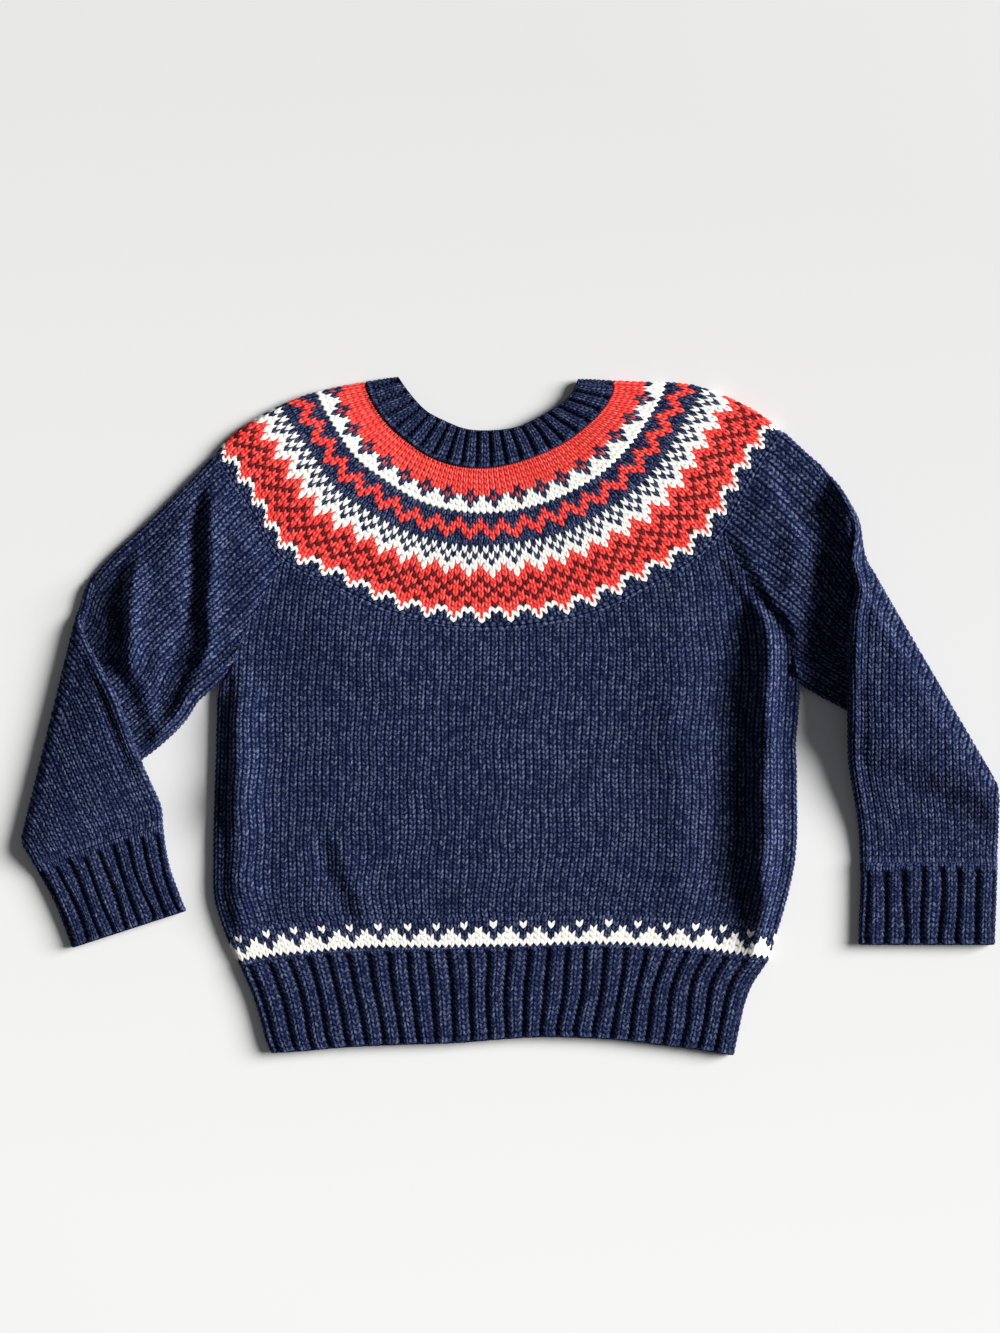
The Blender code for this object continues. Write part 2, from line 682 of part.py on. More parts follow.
def armhole(side):
    """The yoke and armhole seams that a sleeve is sewn to, from its shoulder to its armpit."""
    seam, _ = yoke_seam_points()
    if side == "left":
        yoke_part, raglan = seam[: YOKE_CORNER_STEPS + 1], LEFT_RAGLAN
    else:
        yoke_part, raglan = seam[-YOKE_CORNER_STEPS - 1 :][::-1], RIGHT_RAGLAN
    line = np.concatenate([yoke_part, evenly(smooth_line(raglan), RAGLAN_STEPS)[1:]])
    return trimmed(sideways(line, -SEAM_GAP if side == "left" else SEAM_GAP))


def add_sleeve(side, material, collection):
    sleeve = Sleeve(SLEEVES[side])
    first = armhole(side)
    shares = distances(first) / distances(first)[-1]
    first_at = [float((first[end] - sleeve.start) @ sleeve.along) for end in (0, -1)]

    bend = np.linspace(0.0, sleeve.bend_length, FOLD_ROWS)
    bend_lines = np.stack([sleeve.fold_line(past, shares) for past in bend], axis=1)
    bend_at = [[sleeve.place_on_edge(past, column) for column in (1, 2)] for past in bend]
    cuff_at = [sleeve.sizes["cuff_at"] - SEAM_GAP] * 2
    cuff_line = sleeve.cross_line(cuff_at[0], shares)

    upper = sleeve.stretch(first, bend_lines[:, 0], first_at, bend_at[0], UPPER_ARM_ROWS, shares)
    lower = sleeve.stretch(bend_lines[:, -1], cuff_line, bend_at[-1], cuff_at, LOWER_ARM_ROWS, shares)
    strip = np.concatenate([upper, bend_lines[:, 1:], lower[:, 1:]], axis=1)

    # The upper arm swells and creases only where the lower arm doesn't lie on it.
    relief = UPPER_ARM_LOFT + fold_relief(strip[..., 0], strip[..., 1], sleeve.sizes["folds"])
    inside = smoothstep(np.minimum(shares, 1 - shares) / UPPER_ARM_EDGE_SHARE)[:, None]
    top = np.maximum(LAYERS_TOP + relief * sleeve.bare(strip) * inside, LOWEST_TOP)
    skins = flat_tube(strip, top, WALL)
    skins = [sleeve.turn_over(skin) for skin in skins]
    return add_cloth(f"sleeve_{side}", *skins, True, material, collection)


def add_cuff(side, material, collection):
    sleeve = Sleeve(SLEEVES[side])
    shares, raised = rib_shares(CUFF_RIBS[side])
    along = np.linspace(sleeve.sizes["cuff_at"], sleeve.sizes["end_at"], CUFF_ROWS)
    strip = np.stack([sleeve.cross_line(at, shares) for at in along], axis=1)
    flat = np.concatenate([strip, np.zeros(strip.shape[:2])[..., None]], axis=2)
    front = sleeve.turn_over(flat)[..., :2]
    skins = flat_tube(front, LAYERS_TOP, RIB_WALL, RIB_HEIGHT * raised[:, None])
    return add_cloth(f"cuff_{side}", *skins, True, material, collection)


def main():
    for old in list(bpy.data.objects):
        bpy.data.objects.remove(old, do_unlink=True)
    collection = bpy.data.collections.new("fair_isle_jumper")
    bpy.context.scene.collection.children.link(collection)
    navy = knit_material("navy_wool", COLOURS["navy"])
    patterned = knit_material("fair_isle_wool", COLOURS["red"])
    add_neckband(navy, collection)
    add_yoke(patterned, collection)
    add_body(navy, collection)
    add_hem_ribs(navy, collection)
    for side in SLEEVES:
        add_sleeve(side, navy, collection)
        add_cuff(side, navy, collection)


main()
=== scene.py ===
"""The looks of a toddler's fair isle jumper, laid flat on its back.

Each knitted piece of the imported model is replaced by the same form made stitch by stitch: a thin
closed shell whose outside is a net of knit columns (wales) and rows, with the colourwork in the
colour of each stitch. The tables are those of the model, in millimetres, and MIDDLE is where the
model's origin lies in them. The stitches, the ridges that stand along the right lower arm
("stands"), the rims and rolls of the arms' edges, the height of the joins and the wander of the
folds are only here.
"""

import math
from dataclasses import dataclass

import bpy
import numpy as np
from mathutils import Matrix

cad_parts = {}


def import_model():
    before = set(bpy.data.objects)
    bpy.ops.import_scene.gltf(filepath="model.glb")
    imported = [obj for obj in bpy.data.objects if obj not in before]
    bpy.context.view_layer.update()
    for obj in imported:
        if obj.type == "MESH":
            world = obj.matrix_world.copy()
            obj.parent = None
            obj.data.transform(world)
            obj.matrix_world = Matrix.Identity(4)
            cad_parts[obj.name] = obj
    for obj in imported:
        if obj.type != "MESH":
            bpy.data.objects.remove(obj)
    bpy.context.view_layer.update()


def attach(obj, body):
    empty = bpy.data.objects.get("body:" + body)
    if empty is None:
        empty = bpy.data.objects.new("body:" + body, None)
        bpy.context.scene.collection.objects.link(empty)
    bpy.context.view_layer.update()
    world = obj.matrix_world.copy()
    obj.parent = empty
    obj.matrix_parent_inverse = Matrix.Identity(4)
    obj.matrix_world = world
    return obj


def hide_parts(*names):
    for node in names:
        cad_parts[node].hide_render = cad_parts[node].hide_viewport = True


MM = 0.001
MIDDLE = (1.18, 0.10)
RANDOM = np.random.default_rng(41)

# Driving dimensions of the garment, in millimetres.
WALL = 2.6
RIB_WALL = 2.9
LAYERS_TOP = 6.8
EDGE_RADIUS = LAYERS_TOP / 2
MOST_AIR = 3.0
RIB_HEIGHT = 1.2
LOWEST_TOP = 5.9
NECK_RIBS = 20
HEM_RIBS = 26
CUFF_RIBS = {"left": 8, "right": 7}
FOLD_GAP = 0.45  # between a sleeve's upper arm and the lower arm on it

# Plan lines of the front, x and y, each from its left end to its right end.
NECK_EDGE = (
    (-66, 203.6), (-61, 196.3), (-56, 190), (-49, 183), (-38, 177), (-26, 172.3), (-10, 171.2),
    (9, 174.5), (18, 179), (26, 183.5), (34, 189), (39, 195), (42, 202.3),
)
NECK_SEAM = (
    (-85.4, 200.6), (-83.2, 192.7), (-78, 183), (-70, 173), (-60, 164.5), (-49, 156.7),
    (-35, 151), (-12, 148.7), (9, 153), (26, 159.8), (36, 165.3), (46, 173), (54, 180.6),
    (60, 189), (62.6, 195), (62.3, 201.4),
)
YOKE_SEAM = (
    (-176.4, 155.4), (-166.4, 141), (-151, 116), (-143.2, 102), (-136, 93.5), (-106.5, 78),
    (-74, 62.5), (-43, 54.5), (-12, 51.5), (20, 54), (52, 61.5), (82, 75.5), (111, 92),
    (129, 111), (145, 139.5), (156, 157.5), (165.6, 169.8),
)
YOKE_SEAM_CORNERS = (4, 13)  # the rows of YOKE_SEAM where the armhole seams meet it

# Plan lines from the neck outwards or from the armhole down.
LEFT_SHOULDER = (
    (-85.4, 200.6), (-99, 198.4), (-111.4, 195.7), (-121, 193), (-136, 187), (-148.2, 180.4),
    (-160.3, 173), (-170, 164.5), (-176.4, 155.4),
)
RIGHT_SHOULDER = (
    (62.3, 201.4), (78, 200.9), (92.4, 200.5), (107, 199.6), (120, 196.6), (132, 191.5),
    (144.5, 185.6), (156, 178), (165.6, 169.8),
)
LEFT_RAGLAN = (
    (-136, 93.5), (-143.4, 76.2), (-149, 66.5), (-155.4, 55.8), (-159.6, 45), (-163.5, 34),
    (-168, 23.5), (-173.4, 17.4),
)
RIGHT_RAGLAN = (
    (129, 111), (135, 97.8), (143, 83), (150.5, 72.5), (158, 63.5), (164.4, 54), (169, 41.5),
    (172, 29.5), (173.4, 19.8),
)
LEFT_SIDE = (
    (-173.4, 17.4), (-174, 5), (-176, -38), (-177, -86), (-176.5, -108), (-171.6, -125.4),
    (-166.8, -137.4), (-160.8, -149.4),
)
RIGHT_SIDE = (
    (173.4, 19.8), (172.6, 5), (173.6, -40), (172.2, -88), (165.5, -117), (160.5, -133),
    (156, -147),
)
LEFT_HEM_SIDE = (
    (-160.8, -149.4), (-153.5, -166), (-148.8, -181), (-145.4, -194), (-142.2, -201.8),
)
RIGHT_HEM_SIDE = ((156, -147), (147.6, -158.4), (142.8, -170), (139.5, -184), (135.6, -203.4))
BAND_LINE = (
    (-160.8, -149.4), (-124.8, -143.4), (-72, -140.4), (-16.8, -139.2), (55.2, -137.6),
    (115.2, -141), (156, -147),
)
HEM_LINE = (
    (-142.2, -201.8), (-124.8, -200.8), (-100.8, -198.6), (-64.8, -196.8), (-28.8, -195.6),
    (-4.8, -193.6), (19.2, -192.2), (43.2, -192.6), (67.2, -194), (91.2, -196.8),
    (115.2, -200), (135.6, -203.4),
)

# A sleeve as it lies before it is turned over. Its edges are distance along the strip, and how
# far aside its two edges are there. Its folds are as those of the front, below.
SLEEVES = {
    "left": {
        "start": (-174.6, 87.6),
        "axis_angle": -135.6,
        "across_sign": 1,
        "fold_point": (-255.5, 76.0),
        "fold_angle": -103.8,
        "corner_reach": 0.0,  # of the fold's upper corner, past the fold's line
        "cuff_at": 213.0,
        "end_at": 267.0,
        "lower_arm_loft": 3.4,
        "lower_arm_rise": 30.0,
        "bare_from": 5.0,  # how far from the lower arm the upper arm starts to rise
        "bare_fade": 12.0,
        "press": 0.28,  # the share of its height that the fold loses
        "edges": (
            (-46, -50.5, 51), (10, -49.6, 50.5), (50, -50, 50), (62, -48.2, 49), (76, -41, 52),
            (98, -40.6, 52), (112, -43.5, 50.4), (128, -47, 47.5), (160, -48.5, 42),
            (190, -50.6, 36.5), (205, -51, 34), (213, -49, 32.5), (237, -45, 28),
            (267, -46.3, 26.5),
        ),
        "folds": (
            (-185, 140, -188, 34, 4.2, -10.0),
            (-176, 134, -179, 40, 5.5, 4.5),
            (-197, 120, -198, 56, 8.0, 1.6),
            (-186, 60, -208, -2, 7.0, -11.0),
            (-176, 46, -197, -8, 6.0, 6.0),
            (-233, 94, -238, 14, 5.0, -14.0),
            (-222, 94, -227, 22, 6.0, 9.0),
            (-206, 108, -212, 36, 10.0, 2.0),
        ),
        "stands": (),
    },
    "right": {
        "start": (169.2, 93.6),
        "axis_angle": -29.3,
        "across_sign": -1,
        "fold_point": (213.0, 97.2),
        "fold_angle": -59.7,
        "corner_reach": 8.5,
        "cuff_at": 220.0,
        "end_at": 269.0,
        "lower_arm_loft": 11.5,
        "lower_arm_rise": 7.0,
        "bare_from": 22.0,
        "bare_fade": 9.0,
        "press": 0.0,
        "edges": (
            (-41, -65.5, 62), (-25, -61.7, 62), (0, -54.5, 62.3), (18, -47, 62.3),
            (33, -37, 62.6), (52, -29, 63), (75, -32.0, 62.6), (100, -33.0, 62),
            (129, -33.0, 60), (158, -31.6, 58.5), (200, -25, 59.4), (220, -24, 59),
            (269, -24.8, 57.6),
        ),
        "folds": (
            (172, 118, 168, 50, 8.0, 3.0),
            (150, 84, 176, 34, 4.0, 2.2),
            (178, 52, 190, 34, 3.0, 3.0),
        ),
        "stands": ((197, 138, 207, 88, 6.5, 12.5), (203, 104, 209, 16, 6.5, 5.0)),
    },
}

# Folds of the front: x and y at one end, x and y at the other, half width, height.
FRONT_FOLDS = (
    (156, 82, 151, -140, 8.5, 16.5),
    (102, 60, 105, -130, 14.0, 2.4),
    (139, 74, 130, -146, 10.0, -6.0),
    (132, 92, 152, 50, 6.0, 3.0),
    (126, 96, 143, 50, 6.0, -3.5),
    (-160, 26, -162, -66, 11.0, 8.0),
    (-161, -36, -160, -136, 11.0, 5.5),
    (-114, -70, -94, -126, 7.0, -2.4),
    (-104, -78, -82, -124, 8.0, 2.2),
    (-120, 62, -60, 20, 16.0, 1.8),
    (84, 60, 100, -40, 16.0, 1.4),
)
FOLD_FADE = 0.42  # share of its length over which a fold rises at each end
FOLD_OVERRUN = 0.35
FOLD_END_WIDTH = 0.6
FOLD_WANDER = 0.9
FOLD_WAVE = 8.0
FRONT_LOFT = 2.0
FRONT_LOFT_HALF_WIDTH = 90.0
FRONT_LOFT_SIDE_FADE = 75.0
FRONT_LOFT_HEM_FADE = 40.0
SIDE_FADE = 10.0
YOKE_LOFT = 1.6
YOKE_EDGE_SHARE = 0.12
JOIN_HEIGHT = 1.4  # of the seams where yoke, sleeves and body meet
JOIN_LENGTH = 16.0  # over which the pieces reach it
UPPER_ARM_LOFT = 4.6
UPPER_ARM_EDGE_SHARE = 0.2
UPPER_ARM_RIM = (6.5, 4.2, 5.6)  # along its lower edge: place, half width, height
RIM_FADE = 6.0
PRESS_REACH = 24.0  # over which a sleeve's fold lies pressed
LOWER_ARM_TAPER = 90.0
OUTER_LOFT_SHARE = 0.35
EDGE_ROLL = ((3.5, 3.4, 2.6), (9.5, 2.6, -2.2))  # of the lower arm: place, half width, height
LOFT_ASIDE = (-20.0, 30.0)  # between which the loft grows towards its inner side
CORNER_FADE = (-24.0, 6.0)  # along a fold, between which its corner's reach ends
DRAPE = (3.0, 26.0)  # past the upper arm, between which the lower arm comes down
NECKBAND_ROWS = ((0.0, -1.2), (0.16, 0.0), (0.84, 0.2), (1.0, 0.0))
SIDE_REACH = 0.35

# How finely lines are drawn.
LINE_STEPS = 12  # between two rows of a table
PLAN_STEPS = 240
SEAM_STEPS = 400
SHOULDER_STEPS = 9
HEM_SIDE_STEPS = 12
EDGE_STEPS = 80
EDGE_INSET = 0.01  # the share of the width between a folded edge and its neighbour
LENGTH_STEPS = 400  # across a piece, to find its longest column
TINY = 1e-6

# How the knit columns run.
RAGLAN_LEAN = math.tan(math.radians(13))  # of the body's outermost columns, above the armpits
LEAN_LENGTH = 30.0  # over which they take up that lean
SIDE_BLEND = 40.0  # below the armpits, over which the side turns towards the seam's end
LEVEL_AT = 20.0  # the body's rows follow the hem at the bottom and are level up here
LEVEL_LENGTH = 160.0
YOKE_DEPTH = 98.0
CENTRE_SPREAD = 0.07  # the yoke's stitches are this much wider at its middle
EDGE_ROWS = 12.4  # the navy and white rows at its outer seam, and their share left at each u
EDGE_SQUEEZE = ((0.0, 0.25, 0.5, 0.75, 1.0), (0.7, 0.85, 1.0, 0.95, 0.85))
NECKBAND_DEPTH = 24.0
HEM_DEPTH = 54.0
END_BLEND = 12.0  # over which a folded edge turns into line with the seam at its end
ARMPIT_REACH = 125.0  # how far the body's edge is drawn past its armpit, in these steps
ARMPIT_STEP = 5.0
RIB_FROM_ANGLE = 20.0  # round a folded edge, from where the ribs rise to their height in front
FRONT_ANGLE = 89.99  # the flat front lies past this angle, and the flat back past its opposite
SPREAD_FROM = 1.0  # the depth from which the spare height between the layers is taken up
RIB_TO_DEPTH = 2.0  # the depth down to which the ribs are raised

# Knit columns across the front of a piece, and round each of its folded edges.
HEM_BAND_COLUMNS = 76
BODY_COLUMNS = 73
SLEEVE_COLUMNS = 20
EDGE_COLUMNS = 2
BODY_STEPS = {"front": 3, "back": 2}  # lines of points in a row
BODY_SPARE_ROWS = 2  # past the longest column
SLEEVE_SPARE_ROWS = 1
NECK_SLACK = 0.1  # from the yoke's last row to the neck seam
# Over how much length the ribs rise from their seam, and by up to how much one starts late.
NECK_BLEND = (2.0, 0.5)
HEM_BLEND = (1.6, 0.4)
CUFF_BLEND = (6.0, 3.0)

# The vertex columns of one knit column: place, how far a row's line rises there in rows, and
# how deep it lies under the tops of the loops. Each half of a V is one raised leg.
KNIT_COLUMNS = ((0.0, 0.66, 1.0), (0.25, 0.36, 0.0), (0.5, 0.0, 0.65), (0.75, 0.36, 0.0))
# The same of one rib, and last the depth where it meets plain cloth: a groove of purl columns,
# and two knit columns raised over it.
RIB_COLUMNS = (
    (0.00, 0.66, 1.4, 1.0), (0.06, 0.36, 2.2, 0.0), (0.14, 0.0, 2.5, 0.6), (0.22, 0.36, 2.2, 0.0),
    (0.28, 0.66, 1.4, 1.0), (0.36, 0.36, 0.5, 0.0), (0.45, 0.0, 0.65, 0.6),
    (0.55, 0.36, 0.0, 0.0), (0.64, 0.66, 0.8, 1.0), (0.73, 0.36, 0.0, 0.0),
    (0.83, 0.0, 0.65, 0.6), (0.92, 0.36, 0.5, 0.0),
)
PURL_COLUMNS = ((0.0, 0.25, 0.5, 0.75, 1.0), (0.0, 0.2, 0.95, 0.2, 0.0))
# Depths within a row, from its lower line up.
ROW_DEPTHS = ((0, 1 / 3, 2 / 3, 1), (0.62, 0.0, 0.05, 0.62))
PURL_ROW_DEPTHS = ((0, 1 / 3, 2 / 3, 1), (0.7, 0.0, 0.1, 0.7))
RISE, DEPTH, PLAIN_DEPTH = 1, 2, 3  # where the columns' patterns hold them
SUNK_DEPTH = 1.0  # a column deeper than this lies in a rib's groove
SUNK_SHARE = 0.9  # of the row's depth that shows in a groove
CREST_DEPTH = 0.8  # a column less deep than this shows more of it than this share
LEAST_SHARE = 0.25
PLAIN_SHARE = 0.6  # of the row's depth where a rib meets plain cloth
GROOVE_SHADE = (0.45, 0.5)  # the painted shade in a rib's groove, and what the row's depth adds
PURL_LIFT = 0.15  # of a purl row's line, as a share of a knit one's
DEPTH_NOISE = 0.05
HIDDEN_DEPTH = 0.3  # of a band's last row, where the next band's loops lie over it
SEAM_FADE = 1.2  # over which the loops flatten into a seam, to this share of their depth
SEAM_SHARE = 0.5
TUCK = 1.6  # how deep the cloth turns in at a seam
LAP = 0.6  # how far its upper end reaches under the next piece
SEAM_SHADE = 0.35  # the painted shade at a seam, as a depth
# Points of a free edge, from its outside in: distance from its end, and share of the wall.
FREE_EDGE = ((1.0, 0.0), (0.45, 0.16), (0.1, 0.3), (0.0, 0.5), (0.1, 0.7), (0.45, 0.84))
FREE_DEPTH = 0.5  # of its first point
FREE_INSET = 1.4  # of the inside from a free edge
# the painted shade of the inside, as a depth
INNER_SHADE = 0.8
JOIN_TONE, TURNED_TONE, INNER_TONE = 0.3, 0.35, 0.4  # where nets meet, at ends and inside

STRAY = (0.09, 0.35)  # of columns, in columns, and of rows, in millimetres
RIB_STRAY = (0.05, 0.3)
WAVES = 8  # that make it up
WAVE_TURNS = (2, 13)  # of a wave in a turn, at least and less than
WAVE_CLIMB = 0.45  # at most, in radians for each row
SPAN_FADE = 3.0  # columns over which it fades at a half's ends
WOBBLE = 0.05  # of single stitches, in rows

BODY_ROW = 2.97
SLEEVE_ROW = 3.2
RIB_ROW = 3.0

REPEAT = 4  # stitches
QUARTERS = 4  # of a stitch
COLOURS = "NRWDP"  # navy, red, off-white, maroon, rose

# Rows of the charts, from the hem or the yoke's outer seam up: height, k for knit or p for
# purl, and the colours of a repeat of four stitches, a letter for each stitch or each quarter.
HEM_BAND = (
    (0.9, "k", "NNNN"), (3.5, "k", "WWWW"), (3.5, "k", "WWNW"), (3.4, "k", "WNNN"),
    (3.35, "k", "NNWN"), (2.97, "k", "NNNN"),
)
OUTER_YOKE = (
    (1.9, "p", "NNNN"), (1.9, "p", "NNNN"), (2.6, "k", "NNNNNNNNNNNNWWWW"),
    (3.0, "k", "WWWNNNNNNNWWWRRW"), (3.0, "k", "RRWWWWWWWWRRRRRR"),
    (3.15, "k", "RDRR"), (3.15, "k", "RRRD"), (3.15, "k", "DRDR"), (3.15, "k", "RDRR"),
    (3.15, "k", "DRDR"), (3.15, "k", "RRRD"),
    (3.65, "k", "RWRR"), (3.65, "k", "WWWR"), (3.65, "k", "WNWW"), (3.65, "k", "NWNW"),
    (3.65, "k", "WNWN"), (3.65, "k", "NNNN"),
)
MIDDLE_YOKE = (
    (3.3, "k", "NNRN"), (3.3, "k", "NRRR"), (3.3, "k", "RRNR"), (3.3, "k", "RNNN"),
    (3.0, "k", "NNNN"),
)
INNER_YOKE = (
    (3.6, "k", "WWWW"), (3.6, "k", "NWWW"), (3.6, "k", "PNWN"), (3.6, "k", "NRRR"),
    *[(3.55, "k", "RRRR")] * 4,
)
# The yoke's bands from its outer seam up: chart, columns in front, and the shifts of the columns
# and of the chart, in columns.
YOKE_BANDS = (
    (OUTER_YOKE, 104, 0.5, 3),
    (MIDDLE_YOKE, 88, 0.0, 3),
    (INNER_YOKE, 70, 0.0, 1),
)


def smoothstep(value, first=0.0, last=1.0):
    """A smooth rise from 0 at the first value to 1 at the last one."""
    share = np.clip((value - first) / (last - first), 0.0, 1.0)
    return share * share * (3.0 - 2.0 * share)


def unit(vectors):
    return vectors / np.maximum(np.linalg.norm(vectors, axis=-1, keepdims=True), TINY)


def distances(points):
    steps = np.hypot(*np.diff(points, axis=0).T)
    return np.concatenate([[0.0], np.cumsum(steps)])


def smooth_line(rows):
    """A smooth line through the rows, as many points."""
    rows = np.array(rows, dtype=float)
    at = distances(rows[:, :2])
    slopes = np.gradient(rows, at, axis=0)
    line = [rows[:1]]
    for start in range(len(rows) - 1):
        span = at[start + 1] - at[start]
        t = np.linspace(0.0, 1.0, LINE_STEPS + 1)[1:, None]
        line.append(
            (2 * t**3 - 3 * t**2 + 1) * rows[start]
            + (t**3 - 2 * t**2 + t) * span * slopes[start]
            + (3 * t**2 - 2 * t**3) * rows[start + 1]
            + (t**3 - t**2) * span * slopes[start + 1]
        )
    return np.concatenate(line)


def between(wanted, at, rows):
    """The rows' values at the wanted places."""
    return np.stack([np.interp(wanted, at, column) for column in rows.T], axis=-1)


def line_at(line, shares):
    """The points at these shares of the line's length."""
    at = distances(line)
    return between(shares * at[-1], at, line)


def rows_at(rows, shares):
    """The points at these shares of a table whose rows are evenly spaced."""
    return between(shares * (len(rows) - 1), np.arange(len(rows)), rows)


def evenly(line, steps):
    return line_at(line, np.linspace(0.0, 1.0, steps + 1))


def trimmed(line, steps=PLAN_STEPS):
    """The line with both its ends a folded edge's radius shorter."""
    cut = EDGE_RADIUS / distances(line)[-1]
    return line_at(line, np.linspace(cut, 1.0 - cut, steps + 1))


def sideways(line, distance):
    """The line moved to its left, or to its right if the distance is negative."""
    along = unit(np.gradient(line, axis=0))
    return line + distance * np.column_stack([-along[:, 1], along[:, 0]])


def patch(start, end, left, right, u, v):
    """Plan points of a piece between its seams, start and end, and its sides.

    A side's curve is felt only near that side.
    """
    near_left, near_right = [smoothstep(1 - away / SIDE_REACH)[..., None] for away in (u, 1 - u)]
    v = v[..., None]
    left_swell = rows_at(left, v[..., 0]) - ((1 - v) * left[0] + v * left[-1])
    right_swell = rows_at(right, v[..., 0]) - ((1 - v) * right[0] + v * right[-1])
    ruled = (1 - v) * line_at(start, u) + v * line_at(end, u)
    return ruled + near_left * left_swell + near_right * right_swell


def roll(away, place, half_width, height):
    """The height that a roll along an edge or a seam adds, this far away from it."""
    return height * np.exp(-(((away - place) / half_width) ** 2))


def fold_relief(x, y, folds):
    """The height that the folds add at x, y."""
    total = np.zeros_like(x)
    for x0, y0, x1, y1, half_width, height in folds:
        length = math.hypot(x1 - x0, y1 - y0)
        along_x, along_y = (x1 - x0) / length, (y1 - y0) / length
        share = ((x - x0) * along_x + (y - y0) * along_y) / length
        aside = (y - y0) * along_x - (x - x0) * along_y
        fade = smoothstep(np.minimum(share, 1 - share) / FOLD_FADE + FOLD_OVERRUN)
        aside = aside + FOLD_WANDER * np.sin(share * length / FOLD_WAVE + x0)
        width = half_width * (FOLD_END_WIDTH + (1 - FOLD_END_WIDTH) * fade)
        total = total + height * fade * np.exp(-((aside / width) ** 2))
    return total


def joined(relief, away):
    """The relief, brought to the seam's height near the seam."""
    near = 1 - smoothstep(away / JOIN_LENGTH)
    return relief + near * (JOIN_HEIGHT - relief)


class Cloth:
    """A flat tube of two layers of cloth, with folded edges at both sides.

    u runs across the front from 0 to 1, and p is the distance up from the lower end.
    """

    wall = WALL
    rib_height = 0.0

    def finish_edges(self):
        """Works out which way the folded edges bulge, all along them."""
        self.edges = []
        for side, inner in ((0.0, EDGE_INSET), (1.0, 1 - EDGE_INSET)):
            end = float(self.length(np.array(side)))
            p = np.linspace(0.0, end, EDGE_STEPS)
            edge = self.plan(np.full_like(p, side), p)
            inside = self.plan(np.full_like(p, inner), p)
            along = np.gradient(edge, axis=0)
            normal = unit(np.column_stack([-along[:, 1], along[:, 0]]))
            normal *= np.sign(((edge - inside) * normal).sum(axis=1))[:, None]
            top_inside = self.plan(np.array([inner]), self.length(np.array([inner])))
            bottom_way = unit(edge[0] - inside[0])
            top_way = unit(edge[-1] - top_inside[0])
            bottom = (1 - smoothstep(p / END_BLEND))[:, None]
            top = (1 - smoothstep((end - p) / END_BLEND))[:, None]
            way = unit(normal * (1 - bottom) * (1 - top) + bottom_way * bottom + top_way * top)
            self.edges.append((p, way))

    def edge_way(self, u, p):
        left, right = [between(p, at, way) for at, way in self.edges]
        return unit(np.where((u > 0.5)[..., None], right, left))

    def surface(self, u, angle, p, depth):
        """Points this deep under the outside. angle is 90 on the front and -90 on the back."""
        plan = self.plan(u, p)
        top = self.top(u, p, plan)
        inner_top = np.minimum(top - self.wall, self.wall + MOST_AIR)
        spare = np.maximum(top - inner_top - self.wall, 0.0)
        spread = smoothstep(depth, SPREAD_FROM, self.wall)
        in_front = smoothstep(angle, RIB_FROM_ANGLE, 90)
        raised = self.rib_height * in_front * (1 - smoothstep(depth - RIB_TO_DEPTH))
        turn = np.radians(angle)
        radius = EDGE_RADIUS - depth + raised
        plan = plan + (radius * np.cos(turn))[..., None] * self.edge_way(u, p)
        height = EDGE_RADIUS + radius * np.sin(turn)
        height = np.where(angle >= FRONT_ANGLE, top - depth - spare * spread + raised, height)
        height = np.where(angle <= -FRONT_ANGLE, depth, height)
        return np.concatenate([plan, height[..., None]], axis=-1)

    def length(self, u):
        return np.full_like(u, self.depth)

    def top(self, u, p, plan):
        return np.full_like(u, LAYERS_TOP)


def yoke_seam():
    """The yoke's outer seam, and how far along it the armhole seams meet it."""
    line = smooth_line(YOKE_SEAM)
    return line, [LINE_STEPS * row for row in YOKE_SEAM_CORNERS]


class RibbedCloth(Cloth):
    wall = RIB_WALL
    rib_height = RIB_HEIGHT


class Neckband(RibbedCloth):
    depth = NECKBAND_DEPTH

    def __init__(self):
        self.inside = trimmed(smooth_line(NECK_EDGE))
        self.seam = trimmed(smooth_line(NECK_SEAM))
        self.finish_edges()

    def plan(self, u, p):
        share = (p / self.depth)[..., None]
        return share * line_at(self.inside, u) + (1 - share) * line_at(self.seam, u)

    def top(self, u, p, plan):
        rows = np.array(NECKBAND_ROWS)
        return LAYERS_TOP + np.interp(1 - p / self.depth, rows[:, 0], rows[:, 1])


class Yoke(Cloth):
    depth = YOKE_DEPTH

    def __init__(self):
        self.neck = trimmed(smooth_line(NECK_SEAM))
        self.seam = trimmed(yoke_seam()[0])
        self.left = sideways(evenly(smooth_line(LEFT_SHOULDER), SHOULDER_STEPS), EDGE_RADIUS)
        self.right = sideways(evenly(smooth_line(RIGHT_SHOULDER), SHOULDER_STEPS), -EDGE_RADIUS)
        for side, end in ((self.left, 0), (self.right, -1)):
            side[0], side[-1] = self.neck[end], self.seam[end]
        self.finish_edges()

    def plan(self, u, p):
        wide = u - CENTRE_SPREAD / (2 * math.pi) * np.sin(2 * math.pi * u)
        squeezed = p * np.interp(u, *EDGE_SQUEEZE)
        last = EDGE_ROWS * np.interp(u, *EDGE_SQUEEZE)
        above = last + (p - EDGE_ROWS) * (self.depth - last) / (self.depth - EDGE_ROWS)
        v = 1 - np.where(p < EDGE_ROWS, squeezed, above) / self.depth
        return patch(self.neck, self.seam, self.left, self.right, wide, v)

    def top(self, u, p, plan):
        v = np.clip(1 - p / self.depth, 0.0, 1.0)
        inside = smoothstep(np.minimum(u, 1 - u) / YOKE_EDGE_SHARE)
        ridge = JOIN_HEIGHT * (1 - smoothstep(p / JOIN_LENGTH))
        return LAYERS_TOP + inside * (YOKE_LOFT * np.sin(math.pi * v) + ridge)


